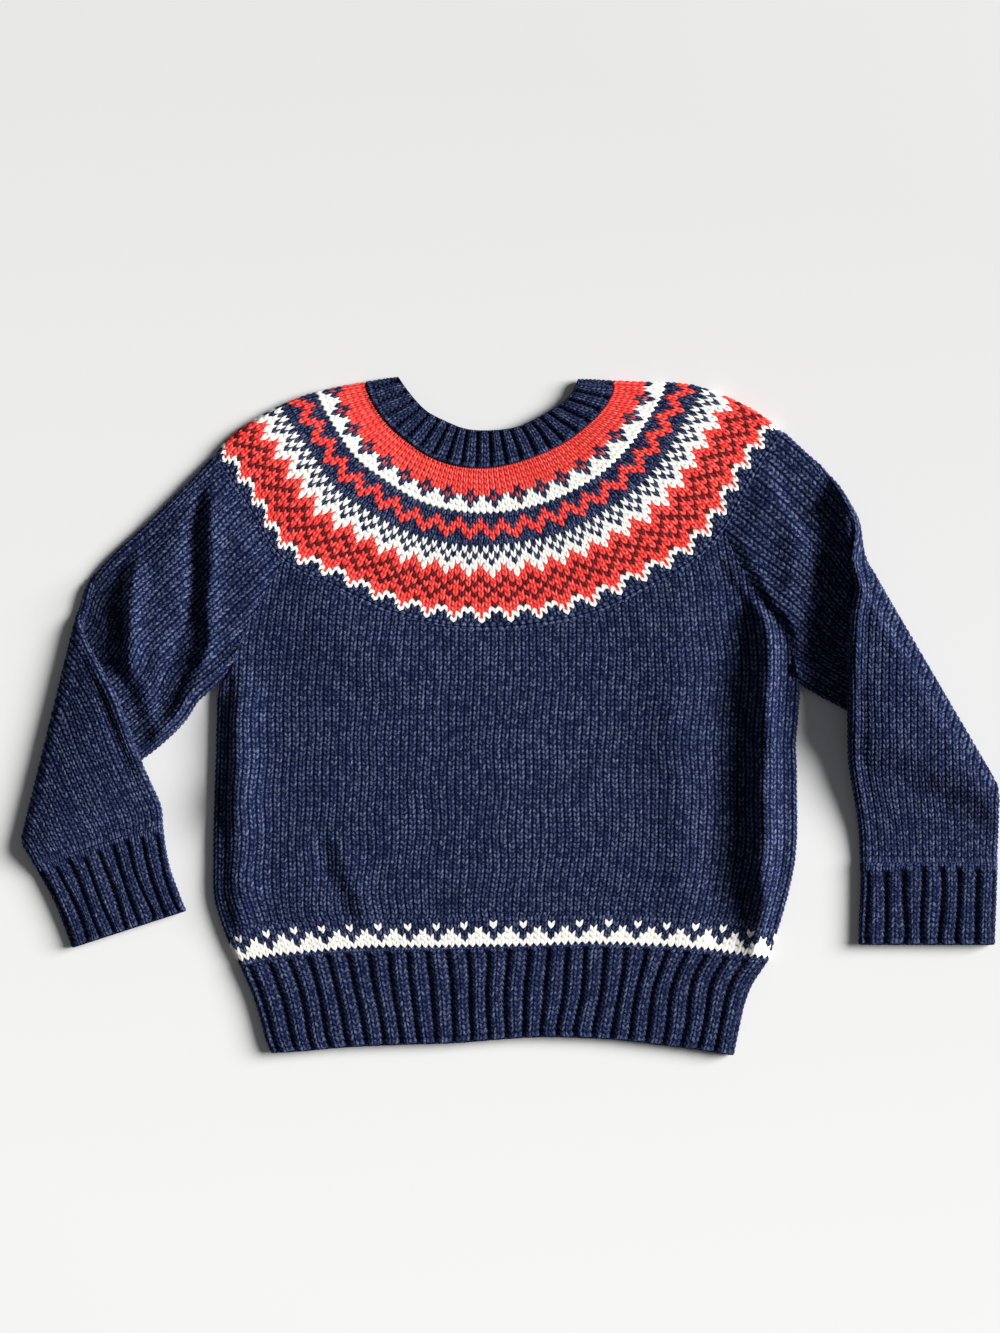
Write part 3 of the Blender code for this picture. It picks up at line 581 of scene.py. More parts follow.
def side_table(rows, inset, end, lean):
    """x against y of the body's edge, which above the armpit leans in like its columns."""
    line = smooth_line(rows)[::-1] + (inset, 0)
    line = line[line[:, 1] < end[1] - SIDE_BLEND]
    up = np.arange(0.0, ARMPIT_REACH, ARMPIT_STEP)
    inwards = lean * (up - LEAN_LENGTH * (1 - np.exp(-up / LEAN_LENGTH)))
    table = np.concatenate([line, end + np.column_stack([inwards, up])])
    return table[:, 1], table[:, 0]


class Body(Cloth):
    """The body above its hem ribs. The front has the folds, and the back lies flat."""

    def __init__(self):
        line, (left, right) = yoke_seam()
        raglans = [smooth_line(rows) for rows in (LEFT_RAGLAN, RIGHT_RAGLAN)]
        seam = np.concatenate([raglans[0][::-1][:-1], line[left : right + 1], raglans[1][1:]])
        seam = trimmed(seam, SEAM_STEPS)
        self.left = side_table(LEFT_SIDE, EDGE_RADIUS, seam[0], RAGLAN_LEAN)
        self.right = side_table(RIGHT_SIDE, -EDGE_RADIUS, seam[-1], -RAGLAN_LEAN)
        self.band = smooth_line(BAND_LINE)
        self.band_ends = [side_x[0] for _, side_x in (self.left, self.right)]
        left_x, right_x = self.sides(seam[:, 1])
        self.seam_u = (seam[:, 0] - left_x) / (right_x - left_x)
        self.seam_p = (seam[:, 1] - self.band_y(self.seam_u)) / self.scale(self.seam_u)
        self.finish_edges()

    def sides(self, y):
        return [np.interp(y, *side) for side in (self.left, self.right)]

    def band_y(self, u):
        x = self.band_ends[0] + u * (self.band_ends[1] - self.band_ends[0])
        return np.interp(x, self.band[:, 0], self.band[:, 1])

    def scale(self, u):
        return (LEVEL_AT - self.band_y(u)) / LEVEL_LENGTH

    def length(self, u):
        return np.interp(u, self.seam_u, self.seam_p)

    def plan(self, u, p):
        y = self.band_y(u) + p * self.scale(u)
        left_x, right_x = self.sides(y)
        return np.stack([left_x + u * (right_x - left_x), y], axis=-1)

    def top(self, u, p, plan):
        x, y = plan[..., 0], plan[..., 1]
        left_x, right_x = self.sides(y)
        middle = 1 - smoothstep((np.abs(x) - FRONT_LOFT_HALF_WIDTH) / FRONT_LOFT_SIDE_FADE)
        relief = FRONT_LOFT * middle * smoothstep(p / FRONT_LOFT_HEM_FADE)
        relief = relief + fold_relief(x, y, FRONT_FOLDS)
        relief = joined(relief, self.length(u) - p)
        from_side = np.minimum(x - left_x, right_x - x)
        return np.maximum(LAYERS_TOP + relief * smoothstep(from_side / SIDE_FADE), LOWEST_TOP)


class HemRib(RibbedCloth):
    depth = HEM_DEPTH

    def __init__(self):
        self.left = evenly(smooth_line(LEFT_HEM_SIDE), HEM_SIDE_STEPS) + (EDGE_RADIUS, 0)
        self.right = evenly(smooth_line(RIGHT_HEM_SIDE), HEM_SIDE_STEPS) - (EDGE_RADIUS, 0)
        self.lines = []
        for rows, end in ((BAND_LINE, 0), (HEM_LINE, -1)):
            line = smooth_line(rows)
            x = np.linspace(self.left[end, 0], self.right[end, 0], PLAN_STEPS)
            self.lines.append(np.column_stack([x, np.interp(x, line[:, 0], line[:, 1])]))
            self.left[end], self.right[end] = self.lines[-1][0], self.lines[-1][-1]
        self.finish_edges()

    def plan(self, u, p):
        return patch(*self.lines, self.left, self.right, u, 1 - p / self.depth)


class Sleeve(Cloth):
    """One sleeve's strip, and the fold that turns it over."""

    def __init__(self, side):
        sizes = SLEEVES[side]
        angle = math.radians(sizes["axis_angle"])
        fold = math.radians(sizes["fold_angle"])
        self.sizes = sizes
        self.edge_table = smooth_line(sizes["edges"])
        self.start = np.array(sizes["start"])
        self.along = np.array([math.cos(angle), math.sin(angle)])
        self.across = sizes["across_sign"] * np.array([-self.along[1], self.along[0]])
        self.past_fold = np.array([math.sin(fold), -math.cos(fold)])
        if self.past_fold @ self.along < 0:
            self.past_fold = -self.past_fold
        self.fold_height = LAYERS_TOP + FOLD_GAP / 2
        self.bend_length = math.pi * self.fold_height / 2
        self.fold_start = np.array(sizes["fold_point"]) - self.fold_height * self.past_fold
        self.down_fold = np.array([math.cos(fold), math.sin(fold)])
        self.end = sizes["cuff_at"]
        self.find_armhole(side)
        self.finish_edges()

    def find_armhole(self, side):
        line, (left, right) = yoke_seam()
        if side == "left":
            line = np.concatenate([line[: left + 1], smooth_line(LEFT_RAGLAN)[1:]])
        else:
            line = np.concatenate([line[right:][::-1], smooth_line(RIGHT_RAGLAN)[1:]])
        seam = trimmed(line, SEAM_STEPS)
        self.seam_along, aside = self.in_strip(seam)
        upper, lower = self.edge_asides(self.seam_along)
        self.seam_u = np.maximum.accumulate((aside - upper) / (lower - upper))

    def in_strip(self, plan):
        """How far along the strip and how far aside plan points lie."""
        return (plan - self.start) @ self.along, (plan - self.start) @ self.across

    def edge(self, along, column):
        """How far aside the strip's upper edge, column 1, or its lower one, column 2, is."""
        return np.interp(along, self.edge_table[:, 0], self.edge_table[:, column])

    def edge_asides(self, along):
        return self.edge(along, 1) + EDGE_RADIUS, self.edge(along, 2) - EDGE_RADIUS

    def length(self, u):
        return self.end - np.interp(u, self.seam_u, self.seam_along)

    def plan(self, u, p):
        along = self.end - p
        upper, lower = self.edge_asides(along)
        aside = upper + u * (lower - upper)
        return self.start + along[..., None] * self.along + aside[..., None] * self.across

    def top(self, u, p, plan):
        relief = UPPER_ARM_LOFT + fold_relief(plan[..., 0], plan[..., 1], self.sizes["folds"])
        relief = joined(relief, self.length(u) - p)
        inside = smoothstep(np.minimum(u, 1 - u) / UPPER_ARM_EDGE_SHARE)
        from_edge = -self.past_upper_arm(plan)
        rim = roll(from_edge, *UPPER_ARM_RIM) * smoothstep(from_edge / RIM_FADE)
        relief = (relief * inside + rim) * self.bare(plan)
        return np.maximum(LAYERS_TOP + relief, LOWEST_TOP)

    def surface(self, u, angle, p, depth):
        return self.turn_over(super().surface(u, angle, p, depth))

    def bulge(self, down):
        return self.sizes["corner_reach"] * (1 - smoothstep(down, *CORNER_FADE))

    def past(self, plan):
        """How far plan points lie past the start of the fold."""
        offset = plan - self.fold_start
        return offset @ self.past_fold - self.bulge(offset @ self.down_fold)

    def turn_over(self, points):
        """Folds the strip over, and lets the lower arm down past the upper arm's edge."""
        plan, height = points[..., :2], points[..., 2]
        past = self.past(plan)
        angle = np.clip(past / self.bend_length, 0.0, 1.0) * math.pi
        radius = self.fold_height - height
        beyond = np.maximum(past - self.bend_length, 0.0)
        bent = np.where(past > 0, radius * np.sin(angle) - beyond, past)
        turned = np.where(past > 0, self.fold_height - radius * np.cos(angle), height)
        turned_plan = plan + (bent - past)[..., None] * self.past_fold
        under = self.fold_height * 2 - LAYERS_TOP
        share = (turned - under) / LAYERS_TOP
        draped = smoothstep(self.past_upper_arm(turned_plan), *DRAPE)
        down = turned + share * self.loft(plan, beyond) - under * draped
        turned = np.where(past > self.bend_length, down, turned)
        near_fold = 1 - smoothstep((self.fold_height - bent) / PRESS_REACH)
        turned = turned * (1 - self.sizes["press"] * near_fold)
        over_floor = smoothstep(height, WALL, LAYERS_TOP - WALL)
        above = np.maximum(over_floor, smoothstep(angle, 0.0, math.pi / 2))
        stands = fold_relief(turned_plan[..., 0], turned_plan[..., 1], self.sizes["stands"])
        turned = turned + above * stands
        return np.concatenate([turned_plan, turned[..., None]], axis=-1)

    def bare(self, plan):
        """1 on the upper arm where nothing lies on it, 0 elsewhere."""
        mirrored = -self.past(plan)
        over = plan + (2 * mirrored + self.bend_length)[..., None] * self.past_fold
        along, aside = self.in_strip(over)
        clear = self.edge(along, 1) - aside
        from_edge, from_fold = [
            smoothstep((space - self.sizes["bare_from"]) / self.sizes["bare_fade"])
            for space in (clear, mirrored)
        ]
        return from_edge * from_fold

    def past_upper_arm(self, plan):
        """How far a plan point lies outside the upper arm's lower edge."""
        along, aside = self.in_strip(plan)
        return aside - self.edge(along, 2)

    def loft(self, strip_plan, beyond):
        """How much the lower arm's folded layers stand over two flat ones."""
        along, aside = self.in_strip(strip_plan)
        past_fold = smoothstep(beyond / self.sizes["lower_arm_rise"])
        before_cuff = smoothstep((self.sizes["cuff_at"] - along) / LOWER_ARM_TAPER)
        share = OUTER_LOFT_SHARE + (1 - OUTER_LOFT_SHARE) * smoothstep(-aside, *LOFT_ASIDE)
        from_edge = aside - self.edge(along, 1)
        rolls = sum(roll(from_edge, *sizes) for sizes in EDGE_ROLL)
        return (self.sizes["lower_arm_loft"] * share + rolls) * past_fold * before_cuff


class Cuff(RibbedCloth):
    def __init__(self, side):
        self.sleeve = Sleeve(side)
        self.sleeve.end = SLEEVES[side]["end_at"]
        self.depth = SLEEVES[side]["end_at"] - SLEEVES[side]["cuff_at"]
        self.finish_edges()

    def plan(self, u, p):
        strip = self.sleeve.plan(u, p)
        flat = np.concatenate([strip, np.zeros(strip.shape[:-1])[..., None]], axis=-1)
        return self.sleeve.turn_over(flat)[..., :2]


def place_round(s, front, ring):
    """u and angle of columns numbered from the front's left edge, all round the tube."""
    s = np.mod(s, 2 * (front + ring))
    corners = (0, front, front + ring, 2 * front + ring, 2 * (front + ring))
    u = np.interp(s, corners[:4], (0, 1, 1, 0))
    return u, np.interp(s, corners, (90, 90, -90, -90, 90))


@dataclass
class Band:
    """Rows of stitches round a tube, or round one half of it."""

    front: int  # knit columns across the front, and as many across the back
    rows: list  # height, k or p, and the colours of a repeat
    ring: int = EDGE_COLUMNS
    start: float = 0.0  # its lower end, above the piece's
    columns: tuple = KNIT_COLUMNS
    half_step: float = 0.0  # by which its columns are shifted, in columns
    chart_shift: int = 0  # by which its chart is shifted, in stitches
    steps: int = 3  # of points in a row
    stray: tuple = STRAY
    inner_step: float = 1.0  # of the plainer inside, in columns
    inner_rows: int = 12
    is_rib: bool = False
    blend: float = 0.0  # over which ribs rise from their seam
    late: float = 0.0  # by up to how much a rib starts late
    seam_below: bool = False

    @property
    def units(self):
        """Knit columns all round."""
        return 2 * (self.front + self.ring)

    def ends(self, half):
        """The places of the first and the last column, of a half or all round."""
        if half is None:
            return 0.0, self.units
        low = -self.ring / 2 if half == "front" else self.front + self.ring / 2
        return low, low + self.front + self.ring

    def cut(self, s, half):
        """The places that lie in the half, with its ends."""
        low, high = self.ends(half)
        inside = s[(s > low + TINY) & (s < high - TINY)]
        return np.concatenate([[low], inside] if half is None else [[low], inside, [high]])

    def across(self, s, part):
        """One part of the columns' pattern at these places. It is the same in each column."""
        pattern = np.array(self.columns)
        in_column = np.mod(s - self.half_step, 1.0)
        return np.interp(in_column, pattern[:, 0], pattern[:, part], period=1.0)

    def lines(self):
        """How many rows up each line of points is, how far up in its row, and if that is purl."""
        t = np.arange(len(self.rows) * self.steps + 1) / self.steps
        row = np.minimum((t + TINY).astype(int), len(self.rows) - 1)
        purl = np.array([kind == "p" for _, kind, _ in self.rows])
        return t, np.clip(t - row, 0, 1), purl[row]


class Mesh:
    """The points and faces of one piece, gathered band by band."""

    def __init__(self):
        self.points, self.shades, self.faces = [], [], []
        self.count = 0

    def add_points(self, points, shades):
        """Adds a net of points, with the painted shade of each. Its result is the points' numbers.
        """
        index = self.count + np.arange(shades.size).reshape(shades.shape)
        self.count += shades.size
        self.points.append(points.reshape(-1, 3))
        self.shades.append(shades.reshape(-1))
        return index

    def add_faces(self, quads, *looks):
        """Adds faces, with the yarn, the tone and whether it is rounded for each or for all."""
        looks = [np.broadcast_to(look, quads.shape[:-1]).reshape(-1) for look in looks]
        self.faces.append((quads.reshape(-1, 4), *looks))

    def add_net(self, index, colours, tones, closed, rounded=True):
        """Faces between neighbouring columns and rows of a net of points."""
        if closed:
            index = np.concatenate([index, index[:1]])
        quads = np.stack([index[:-1, :-1], index[1:, :-1], index[1:, 1:], index[:-1, 1:]], axis=-1)
        self.add_faces(quads, colours, tones, rounded)

    def join(self, first, first_at, second, second_at, turn=None, flip=False):
        """Triangles between two lines of points, each with its places along them.

        On a tube both lines come back to their first points, a whole turn further on.
        """
        if turn is not None:
            first, second = np.append(first, first[0]), np.append(second, second[0])
            first_at = np.append(first_at, first_at[0] + turn)
            second_at = np.append(second_at, second_at[0] + turn)
        i = j = 0
        faces = []
        while i < len(first) - 1 or j < len(second) - 1:
            on_first = j == len(second) - 1 or (
                i < len(first) - 1 and first_at[i + 1] <= second_at[j + 1]
            )
            if on_first:
                faces.append((first[i], first[i + 1], second[j], second[j]))
                i += 1
            else:
                faces.append((first[i], second[j + 1], second[j], second[j]))
                j += 1
        faces = np.array(faces)
        self.add_faces(faces[:, ::-1] if flip else faces, 0, JOIN_TONE, True)

    def build(self, name, materials):
        """The piece, without doubled corners, faces that are lines, and unused points."""
        points = np.concatenate(self.points)
        points[:, :2] -= MIDDLE
        quads, yarns, tones, rounded = [np.concatenate(part) for part in zip(*self.faces)]
        faces = [list(dict.fromkeys(quad)) for quad in quads.tolist()]
        kept = [number for number, face in enumerate(faces) if len(face) >= 3]
        faces = [faces[number] for number in kept]
        used, packed = np.unique(np.concatenate(faces), return_inverse=True)
        ends = np.cumsum([len(face) for face in faces])[:-1]
        faces = [part.tolist() for part in np.split(packed, ends)]
        mesh = bpy.data.meshes.new(name)
        mesh.from_pydata((points[used] * MM).tolist(), [], faces)
        for material in materials:
            mesh.materials.append(material)
        mesh.polygons.foreach_set("material_index", yarns[kept].astype(np.int32))
        mesh.polygons.foreach_set("use_smooth", rounded[kept])
        # The point attribute named depth holds painted shade: how far the yarn is darkened towards
        # its groove colour.
        shades = np.concatenate(self.shades)[used]
        for label, domain, values in (("depth", "POINT", shades), ("tone", "FACE", tones[kept])):
            attribute = mesh.attributes.new(label, "FLOAT", domain)
            attribute.data.foreach_set("value", values.astype(np.float32))
        mesh.update()
        piece = bpy.data.objects.new(name, mesh)
        bpy.context.scene.collection.objects.link(piece)
        return piece


def stray(s, t, units):
    """A slow wander of about 1 over columns and rows, the same again a whole turn on."""
    total = np.zeros((len(s), len(t)))
    for _ in range(WAVES):
        turns = RANDOM.integers(*WAVE_TURNS) * 2 * math.pi / units
        climb = RANDOM.uniform(-WAVE_CLIMB, WAVE_CLIMB)
        total += np.sin(turns * s[:, None] + climb * t[None] + RANDOM.uniform(0, 2 * math.pi))
    return total / math.sqrt(WAVES / 2)


def net_places(band, s, half, at_bottom, at_top):
    """The strayed columns and the heights of a band's net, and how near its end each line is."""
    t, _, purl = band.lines()
    count = len(band.rows)
    heights = [height for height, _, _ in band.rows]
    edges = band.start + np.concatenate([[0.0], np.cumsum(heights)])
    heights_t = np.concatenate([np.arange(count + 1), [count + 2]])
    heights_p = np.concatenate([edges, [edges[-1] + 2 * heights[-1]]])
    rise = band.across(s, RISE)
    fade = np.where(purl, PURL_LIFT, 1.0)
    if at_bottom:
        fade = fade * np.minimum(t, 1.0)
    end = np.clip(t - (count - 1), 0.0, 1.0)
    lift = rise[:, None] * (fade * (1 - end))[None]
    if not at_top:
        lift = lift + (max(rise) * end)[None]
    loose = np.minimum(t, 1) * (1 - end)
    wobble = RANDOM.normal(0.0, WOBBLE, (len(s), len(t)))
    position = np.clip(t[None] + lift + wobble * loose, 0, None)
    across, along = band.stray
    p = np.interp(position, heights_t, heights_p) + along * stray(s, t, band.units) * loose
    inside = np.ones_like(s)
    if half is not None:
        low, high = band.ends(half)
        inside = smoothstep(np.minimum(s - low, high - s) / SPAN_FADE)
    strayed = s[:, None] + across * stray(s, t, band.units) * loose * inside[:, None]
    return strayed, p, end


def net_depths(cloth, band, s, u, p, at_bottom):
    """How deep the points of a band's net lie under the tops of its loops, and their painted
    shade.
    """
    _, within, purl = band.lines()
    column_depth = band.across(s, DEPTH)[:, None]
    profile = np.interp(within, *ROW_DEPTHS)[None]
    crest = 1 - np.clip(column_depth / CREST_DEPTH, 0, 1)
    sunk = np.where(column_depth > SUNK_DEPTH, 1.0, 0.0)
    row_share = np.where(sunk > 0, SUNK_SHARE, LEAST_SHARE + (1 - LEAST_SHARE) * crest)
    purl_column = np.interp(np.mod(s - band.half_step, 1.0), *PURL_COLUMNS)[:, None]
    purl_depth = purl_column + np.interp(within, *PURL_ROW_DEPTHS)[None]
    depth = np.where(purl[None], purl_depth, column_depth + profile * row_share)
    depth = depth + np.abs(RANDOM.normal(0.0, DEPTH_NOISE, depth.shape))
    if band.is_rib:
        late = RANDOM.uniform(0, band.late, band.units)[np.mod(s, band.units).astype(int)]
        from_seam = p if band.seam_below else cloth.length(u) - p
        seam = smoothstep((from_seam - late[:, None]) / band.blend)
        plain = band.across(s, PLAIN_DEPTH)[:, None] + profile * PLAIN_SHARE
        depth = plain + (depth - plain) * seam
        sunk = sunk * seam
    elif at_bottom:
        depth = depth * (SEAM_SHARE + (1 - SEAM_SHARE) * np.clip(p / SEAM_FADE, 0, 1))
    # Painted shade: it follows the depth, and in a rib's groove it is set from GROOVE_SHADE.
    least, more = GROOVE_SHADE
    return depth, depth + sunk * (least + more * profile - depth)


def face_looks(band, s, half):
    """The yarn and the tone of each face of a band's net."""
    t, _, _ = band.lines()
    _, high = band.ends(half)
    middle = s + np.diff(np.append(s, high)) / 2
    if half is not None:
        middle = middle[:-1]
    count = len(band.rows)
    steps = REPEAT * QUARTERS
    charts = np.array([
        [COLOURS.index(letter) for letter in colours for _ in range(steps // len(colours))]
        for _, _, colours in band.rows
    ])
    rows = np.minimum(((t[:-1] + t[1:]) / 2).astype(int), count - 1)
    place = np.floor((middle - band.half_step + band.chart_shift) * QUARTERS).astype(int)
    leg = np.arange(len(middle)) // 2
    tones = RANDOM.random((leg[-1] + 1, count))[leg][:, rows]
    return charts[rows][:, place % steps].T, tones


def knit_band(mesh, cloth, band, half, at_bottom, at_top, clip):
    """One band of stitches.

    Its result is its net of point numbers, its columns' places, and u and angle at their ends.
    """
    offsets = np.array(band.columns)[:, 0] + band.half_step
    whole = np.arange(-band.ring - 2, band.units + band.ring + 2)
    s = band.cut((whole[:, None] + offsets).reshape(-1), half)
    strayed, p, end = net_places(band, s, half, at_bottom, at_top)
    u, angle = place_round(strayed, band.front, band.ring)
    depth, shade = net_depths(cloth, band, s, u, p, at_bottom)
    if not at_top:
        depth = depth + HIDDEN_DEPTH * end[None]

    column, line = np.arange(len(s)), np.arange(len(end))
    last_line = np.full(len(s), line[-1])
    if clip and at_top:
        limit = cloth.length(u)
        reached = p >= limit - TINY
        if not reached[:, -1].all():
            raise ValueError("the band has too few rows to reach its seam")
        last_line = reached.argmax(axis=1)
        p = np.minimum(p, limit)
    index = mesh.add_points(cloth.surface(u, angle, p, depth), shade)
    index = index[column[:, None], np.minimum(line[None], last_line[:, None])]
    mesh.add_net(index, *face_looks(band, s, half), half is None)
    return index, s, [(u[:, 0], angle[:, 0]), (u[column, last_line], angle[column, last_line])]


def knit(name, cloth, bands, materials, half=None, free_below=False, free_above=False, clip=False):
    """One piece: bands of stitches outside, a plainer net inside, and its edges turned in."""
    mesh = Mesh()
    first, last = bands[0], bands[-1]
    nets = [knit_band(mesh, cloth, first, half, True, first is last, clip)]
    for lower, upper in zip(bands, bands[1:]):
        nets.append(knit_band(mesh, cloth, upper, half, False, upper is last, clip))
        (below, below_s, _), (above, above_s, _) = nets[-2:]
        turn = lower.units if half is None else None
        mesh.join(below[:, -1], below_s, above[:, 0], above_s * lower.units / upper.units, turn)

    below = turned_edge(mesh, cloth, nets[0], half, free_below, True)
    above = turned_edge(mesh, cloth, nets[-1], half, free_above, False)
    inner, inner_s = inner_net(mesh, cloth, first, half, free_below, free_above)
    turn = first.units if half is None else None
    above_s = nets[-1][1] / (last.units / first.units)
    mesh.join(above[:, -1], above_s, inner[:, 0], inner_s, turn)
    mesh.join(inner[:, -1], inner_s, below[:, 0], nets[0][1], turn)
    if half is not None:
        for column, flip in ((0, False), (-1, True)):
            outer = [below[column], *(net[0][column] for net in nets), above[column]]
            join_side(mesh, np.concatenate(outer), inner[column][::-1], flip)
    return mesh.build(name, materials)


def join_side(mesh, outer, inside, flip):
    """Closes a half's side, between its outside and its inside, from the bottom up."""
    outer = np.array(list(dict.fromkeys(outer.tolist())))
    points = np.concatenate(mesh.points)
    places = []
    for line in (outer, inside):
        steps = np.linalg.norm(np.diff(points[line], axis=0), axis=1)
        at = np.concatenate([[0.0], np.cumsum(steps)])
        places.append(at / at[-1])
    mesh.join(outer, places[0], inside, places[1], flip=flip)


def turned_edge(mesh, cloth, net, half, free, at_bottom):
    """Rows of points that turn the cloth in at one end. A free edge is rounded."""
    index, _, ends = net
    u, angle = ends[0] if at_bottom else ends[1]
    end = np.full_like(u, 0.0) if at_bottom else cloth.length(u)
    inward = 1.0 if at_bottom else -1.0
    # The third value of each row is painted shade: dark at a seam, and at a free edge as dark as
    # the row is deep.
    profile = [(0.0 if at_bottom else -LAP, TUCK, SEAM_SHADE)]
    if free:
        depths = [share * cloth.wall + FREE_DEPTH for _, share in FREE_EDGE]
        profile = [(place, depth, depth) for (place, _), depth in zip(FREE_EDGE, depths)]
    rows = []
    for place, depth, shade in profile:
        points = cloth.surface(u, angle, end + inward * place, np.full_like(u, depth))
        rows.append(mesh.add_points(points, np.full_like(u, shade)))
    if at_bottom:
        added = np.column_stack(rows[::-1])
        whole = np.column_stack([added, index[:, 0]])
    else:
        added = np.column_stack(rows)
        whole = np.column_stack([index[:, -1], added])
    mesh.add_net(whole, 0, TURNED_TONE, half is None, rounded=free)
    return added


def inner_net(mesh, cloth, band, half, free_below, free_above):
    """The inside of the cloth, as a plainer net, from its upper end to its lower one."""
    low, high = [end / band.inner_step for end in band.ends(half)]
    s = band.cut(np.arange(math.floor(low), math.ceil(high) + 1) * band.inner_step, half)
    u, angle = place_round(s, band.front, band.ring)
    share = np.linspace(1.0, 0.0, band.inner_rows + 1)
    length = cloth.length(u)[:, None]
    first, last = FREE_INSET * free_below, FREE_INSET * free_above
    p = first + share[None] * (length - last - first)
    u, angle = [np.broadcast_to(values[:, None], p.shape) for values in (u, angle)]
    points = cloth.surface(u, angle, p, np.full(p.shape, cloth.wall))
    # The inside is painted darker: painted shade.
    index = mesh.add_points(points, np.full(p.shape, INNER_SHADE))
    mesh.add_net(index, 0, INNER_TONE, half is None)
    return index, s


def plain_rows(count, height):
    return [(height, "k", "NNNN")] * count


def chart_height(rows):
    return sum(height for height, _, _ in rows)


def yoke_bands():
    """The yoke's bands, which lose columns towards the neck."""
    scale = YOKE_DEPTH / (sum(chart_height(chart) for chart, *_ in YOKE_BANDS) + NECK_SLACK)
    bands = []
    start = 0.0
    for chart, front, half_step, chart_shift in YOKE_BANDS:
        rows = [(height * scale, kind, colours) for height, kind, colours in chart]
        bands.append(
            Band(front, rows, start=start, half_step=half_step, chart_shift=chart_shift,
                 inner_step=2.0, inner_rows=10)
        )
        start += chart_height(rows)
    return bands


def longest(cloth):
    return float(cloth.length(np.linspace(0, 1, LENGTH_STEPS)).max())


def body_bands(body, steps):
    edge_height = chart_height(HEM_BAND)
    count = math.ceil((longest(body) - edge_height) / BODY_ROW) + BODY_SPARE_ROWS
    return [
        Band(HEM_BAND_COLUMNS, HEM_BAND, half_step=0.5, chart_shift=2, steps=steps),
        Band(BODY_COLUMNS, plain_rows(count, BODY_ROW), start=edge_height, steps=steps),
    ]


def sleeve_bands(sleeve):
    count = math.ceil(longest(sleeve) / SLEEVE_ROW) + SLEEVE_SPARE_ROWS
    return [Band(SLEEVE_COLUMNS, plain_rows(count, SLEEVE_ROW), inner_rows=64)]


def rib_bands(ribs, depth, blend, late, seam_below=False):
    count = round(depth / RIB_ROW)
    return [
        Band(ribs, plain_rows(count, depth / count), ring=1, columns=RIB_COLUMNS,
             stray=RIB_STRAY, inner_step=0.5, inner_rows=8, is_rib=True, blend=blend, late=late,
             seam_below=seam_below)
    ]


def add_pieces(materials):
    """The knitted pieces, by the names of the nodes that they replace."""
    made = {}

    def add(node, cloth, bands, **ends):
        made[node] = knit(f"{node}_knit", cloth, bands, materials, **ends)

    neck_ribs = rib_bands(NECK_RIBS, NECKBAND_DEPTH, *NECK_BLEND, seam_below=True)
    add("neckband", Neckband(), neck_ribs, free_above=True)
    add("yoke", Yoke(), yoke_bands())
    body = Body()
    for half, steps in BODY_STEPS.items():
        add(f"body_{half}", body, body_bands(body, steps), half=half, clip=True)
        hem_ribs = rib_bands(HEM_RIBS, HEM_DEPTH, *HEM_BLEND)
        add(f"hem_rib_{half}", HemRib(), hem_ribs, half=half, free_below=True)
    for side in SLEEVES:
        sleeve = Sleeve(side)
        add(f"sleeve_{side}", sleeve, sleeve_bands(sleeve), clip=True)
        cuff = Cuff(side)
        cuff_ribs = rib_bands(CUFF_RIBS[side], cuff.depth, *CUFF_BLEND)
        add(f"cuff_{side}", cuff, cuff_ribs, free_below=True)
    return made


# The yarns in the order of COLOURS, each with its dark, middle and bright fibres, and last a
# painted shade colour that the yarn is darkened towards deep between its loops, at seams and
# inside.
YARNS = {
    "navy_yarn": (
        (0.003, 0.006, 0.030), (0.026, 0.039, 0.112), (0.18, 0.22, 0.38), (0.001, 0.003, 0.016),
    ),
    "red_yarn": (
        (0.76, 0.042, 0.038), (0.97, 0.11, 0.09), (1.0, 0.27, 0.24), (0.58, 0.02, 0.018),
    ),
    "white_yarn": (
        (0.90, 0.885, 0.83), (0.96, 0.955, 0.93), (0.99, 0.99, 0.98), (0.76, 0.74, 0.68),
    ),
    "maroon_yarn": (
        (0.05, 0.008, 0.012), (0.15, 0.02, 0.024), (0.36, 0.05, 0.05), (0.03, 0.005, 0.007),
    ),
    "rose_yarn": (
        (0.3, 0.05, 0.07), (0.5, 0.10, 0.12), (0.75, 0.22, 0.24), (0.10, 0.02, 0.03),
    ),
}
YARN_STOPS = (0.1, 0.5, 0.95)  # of the dark, middle and bright fibres on the ramp
# Noise scales, per metre, with their octaves.
FIBRES = (1000.0, 3.0)
BROAD_CLOUDS = (45.0, 2.0)
FUZZ = (2600.0, 2.0)
# How far each moves the yarn along its ramp.
FIBRE_SHARE = 1.7
FIBRE_START = -0.55
TONE_SHARE = 0.36
CLOUD_SHARE = 0.18
SHADE_DEPTHS = (0.05, 0.8)  # depths from none of the painted groove shade to all of it
FUZZ_STRENGTH = 0.5
FUZZ_HEIGHT = 0.0004
WOOL = {
    "Roughness": 0.9, "Specular IOR Level": 0.06, "Sheen Weight": 0.05, "Sheen Roughness": 0.5,
}


def add_node(tree, kind, inputs, **settings):
    """A node with these settings, and with its inputs set, or linked to an output."""
    node = tree.nodes.new(kind)
    for name, value in settings.items():
        setattr(node, name, value)
    for name, value in inputs.items():
        if isinstance(value, bpy.types.NodeSocket):
            tree.links.new(value, node.inputs[name])
        else:
            node.inputs[name].default_value = value
    return node


def add_noise(tree, place, scale, detail):
    inputs = {"Vector": place, "Scale": scale, "Detail": detail}
    return add_node(tree, "ShaderNodeTexNoise", inputs).outputs["Fac"]


def add_ramp(tree, factor, stops):
    ramp = add_node(tree, "ShaderNodeValToRGB", {"Fac": factor})
    elements = ramp.color_ramp.elements
    for element, (place, colour) in zip(elements, (stops[0], stops[-1])):
        element.position = place
        element.color = (*colour, 1)
    for place, colour in stops[1:-1]:
        elements.new(place).color = (*colour, 1)
    return ramp.outputs["Color"]


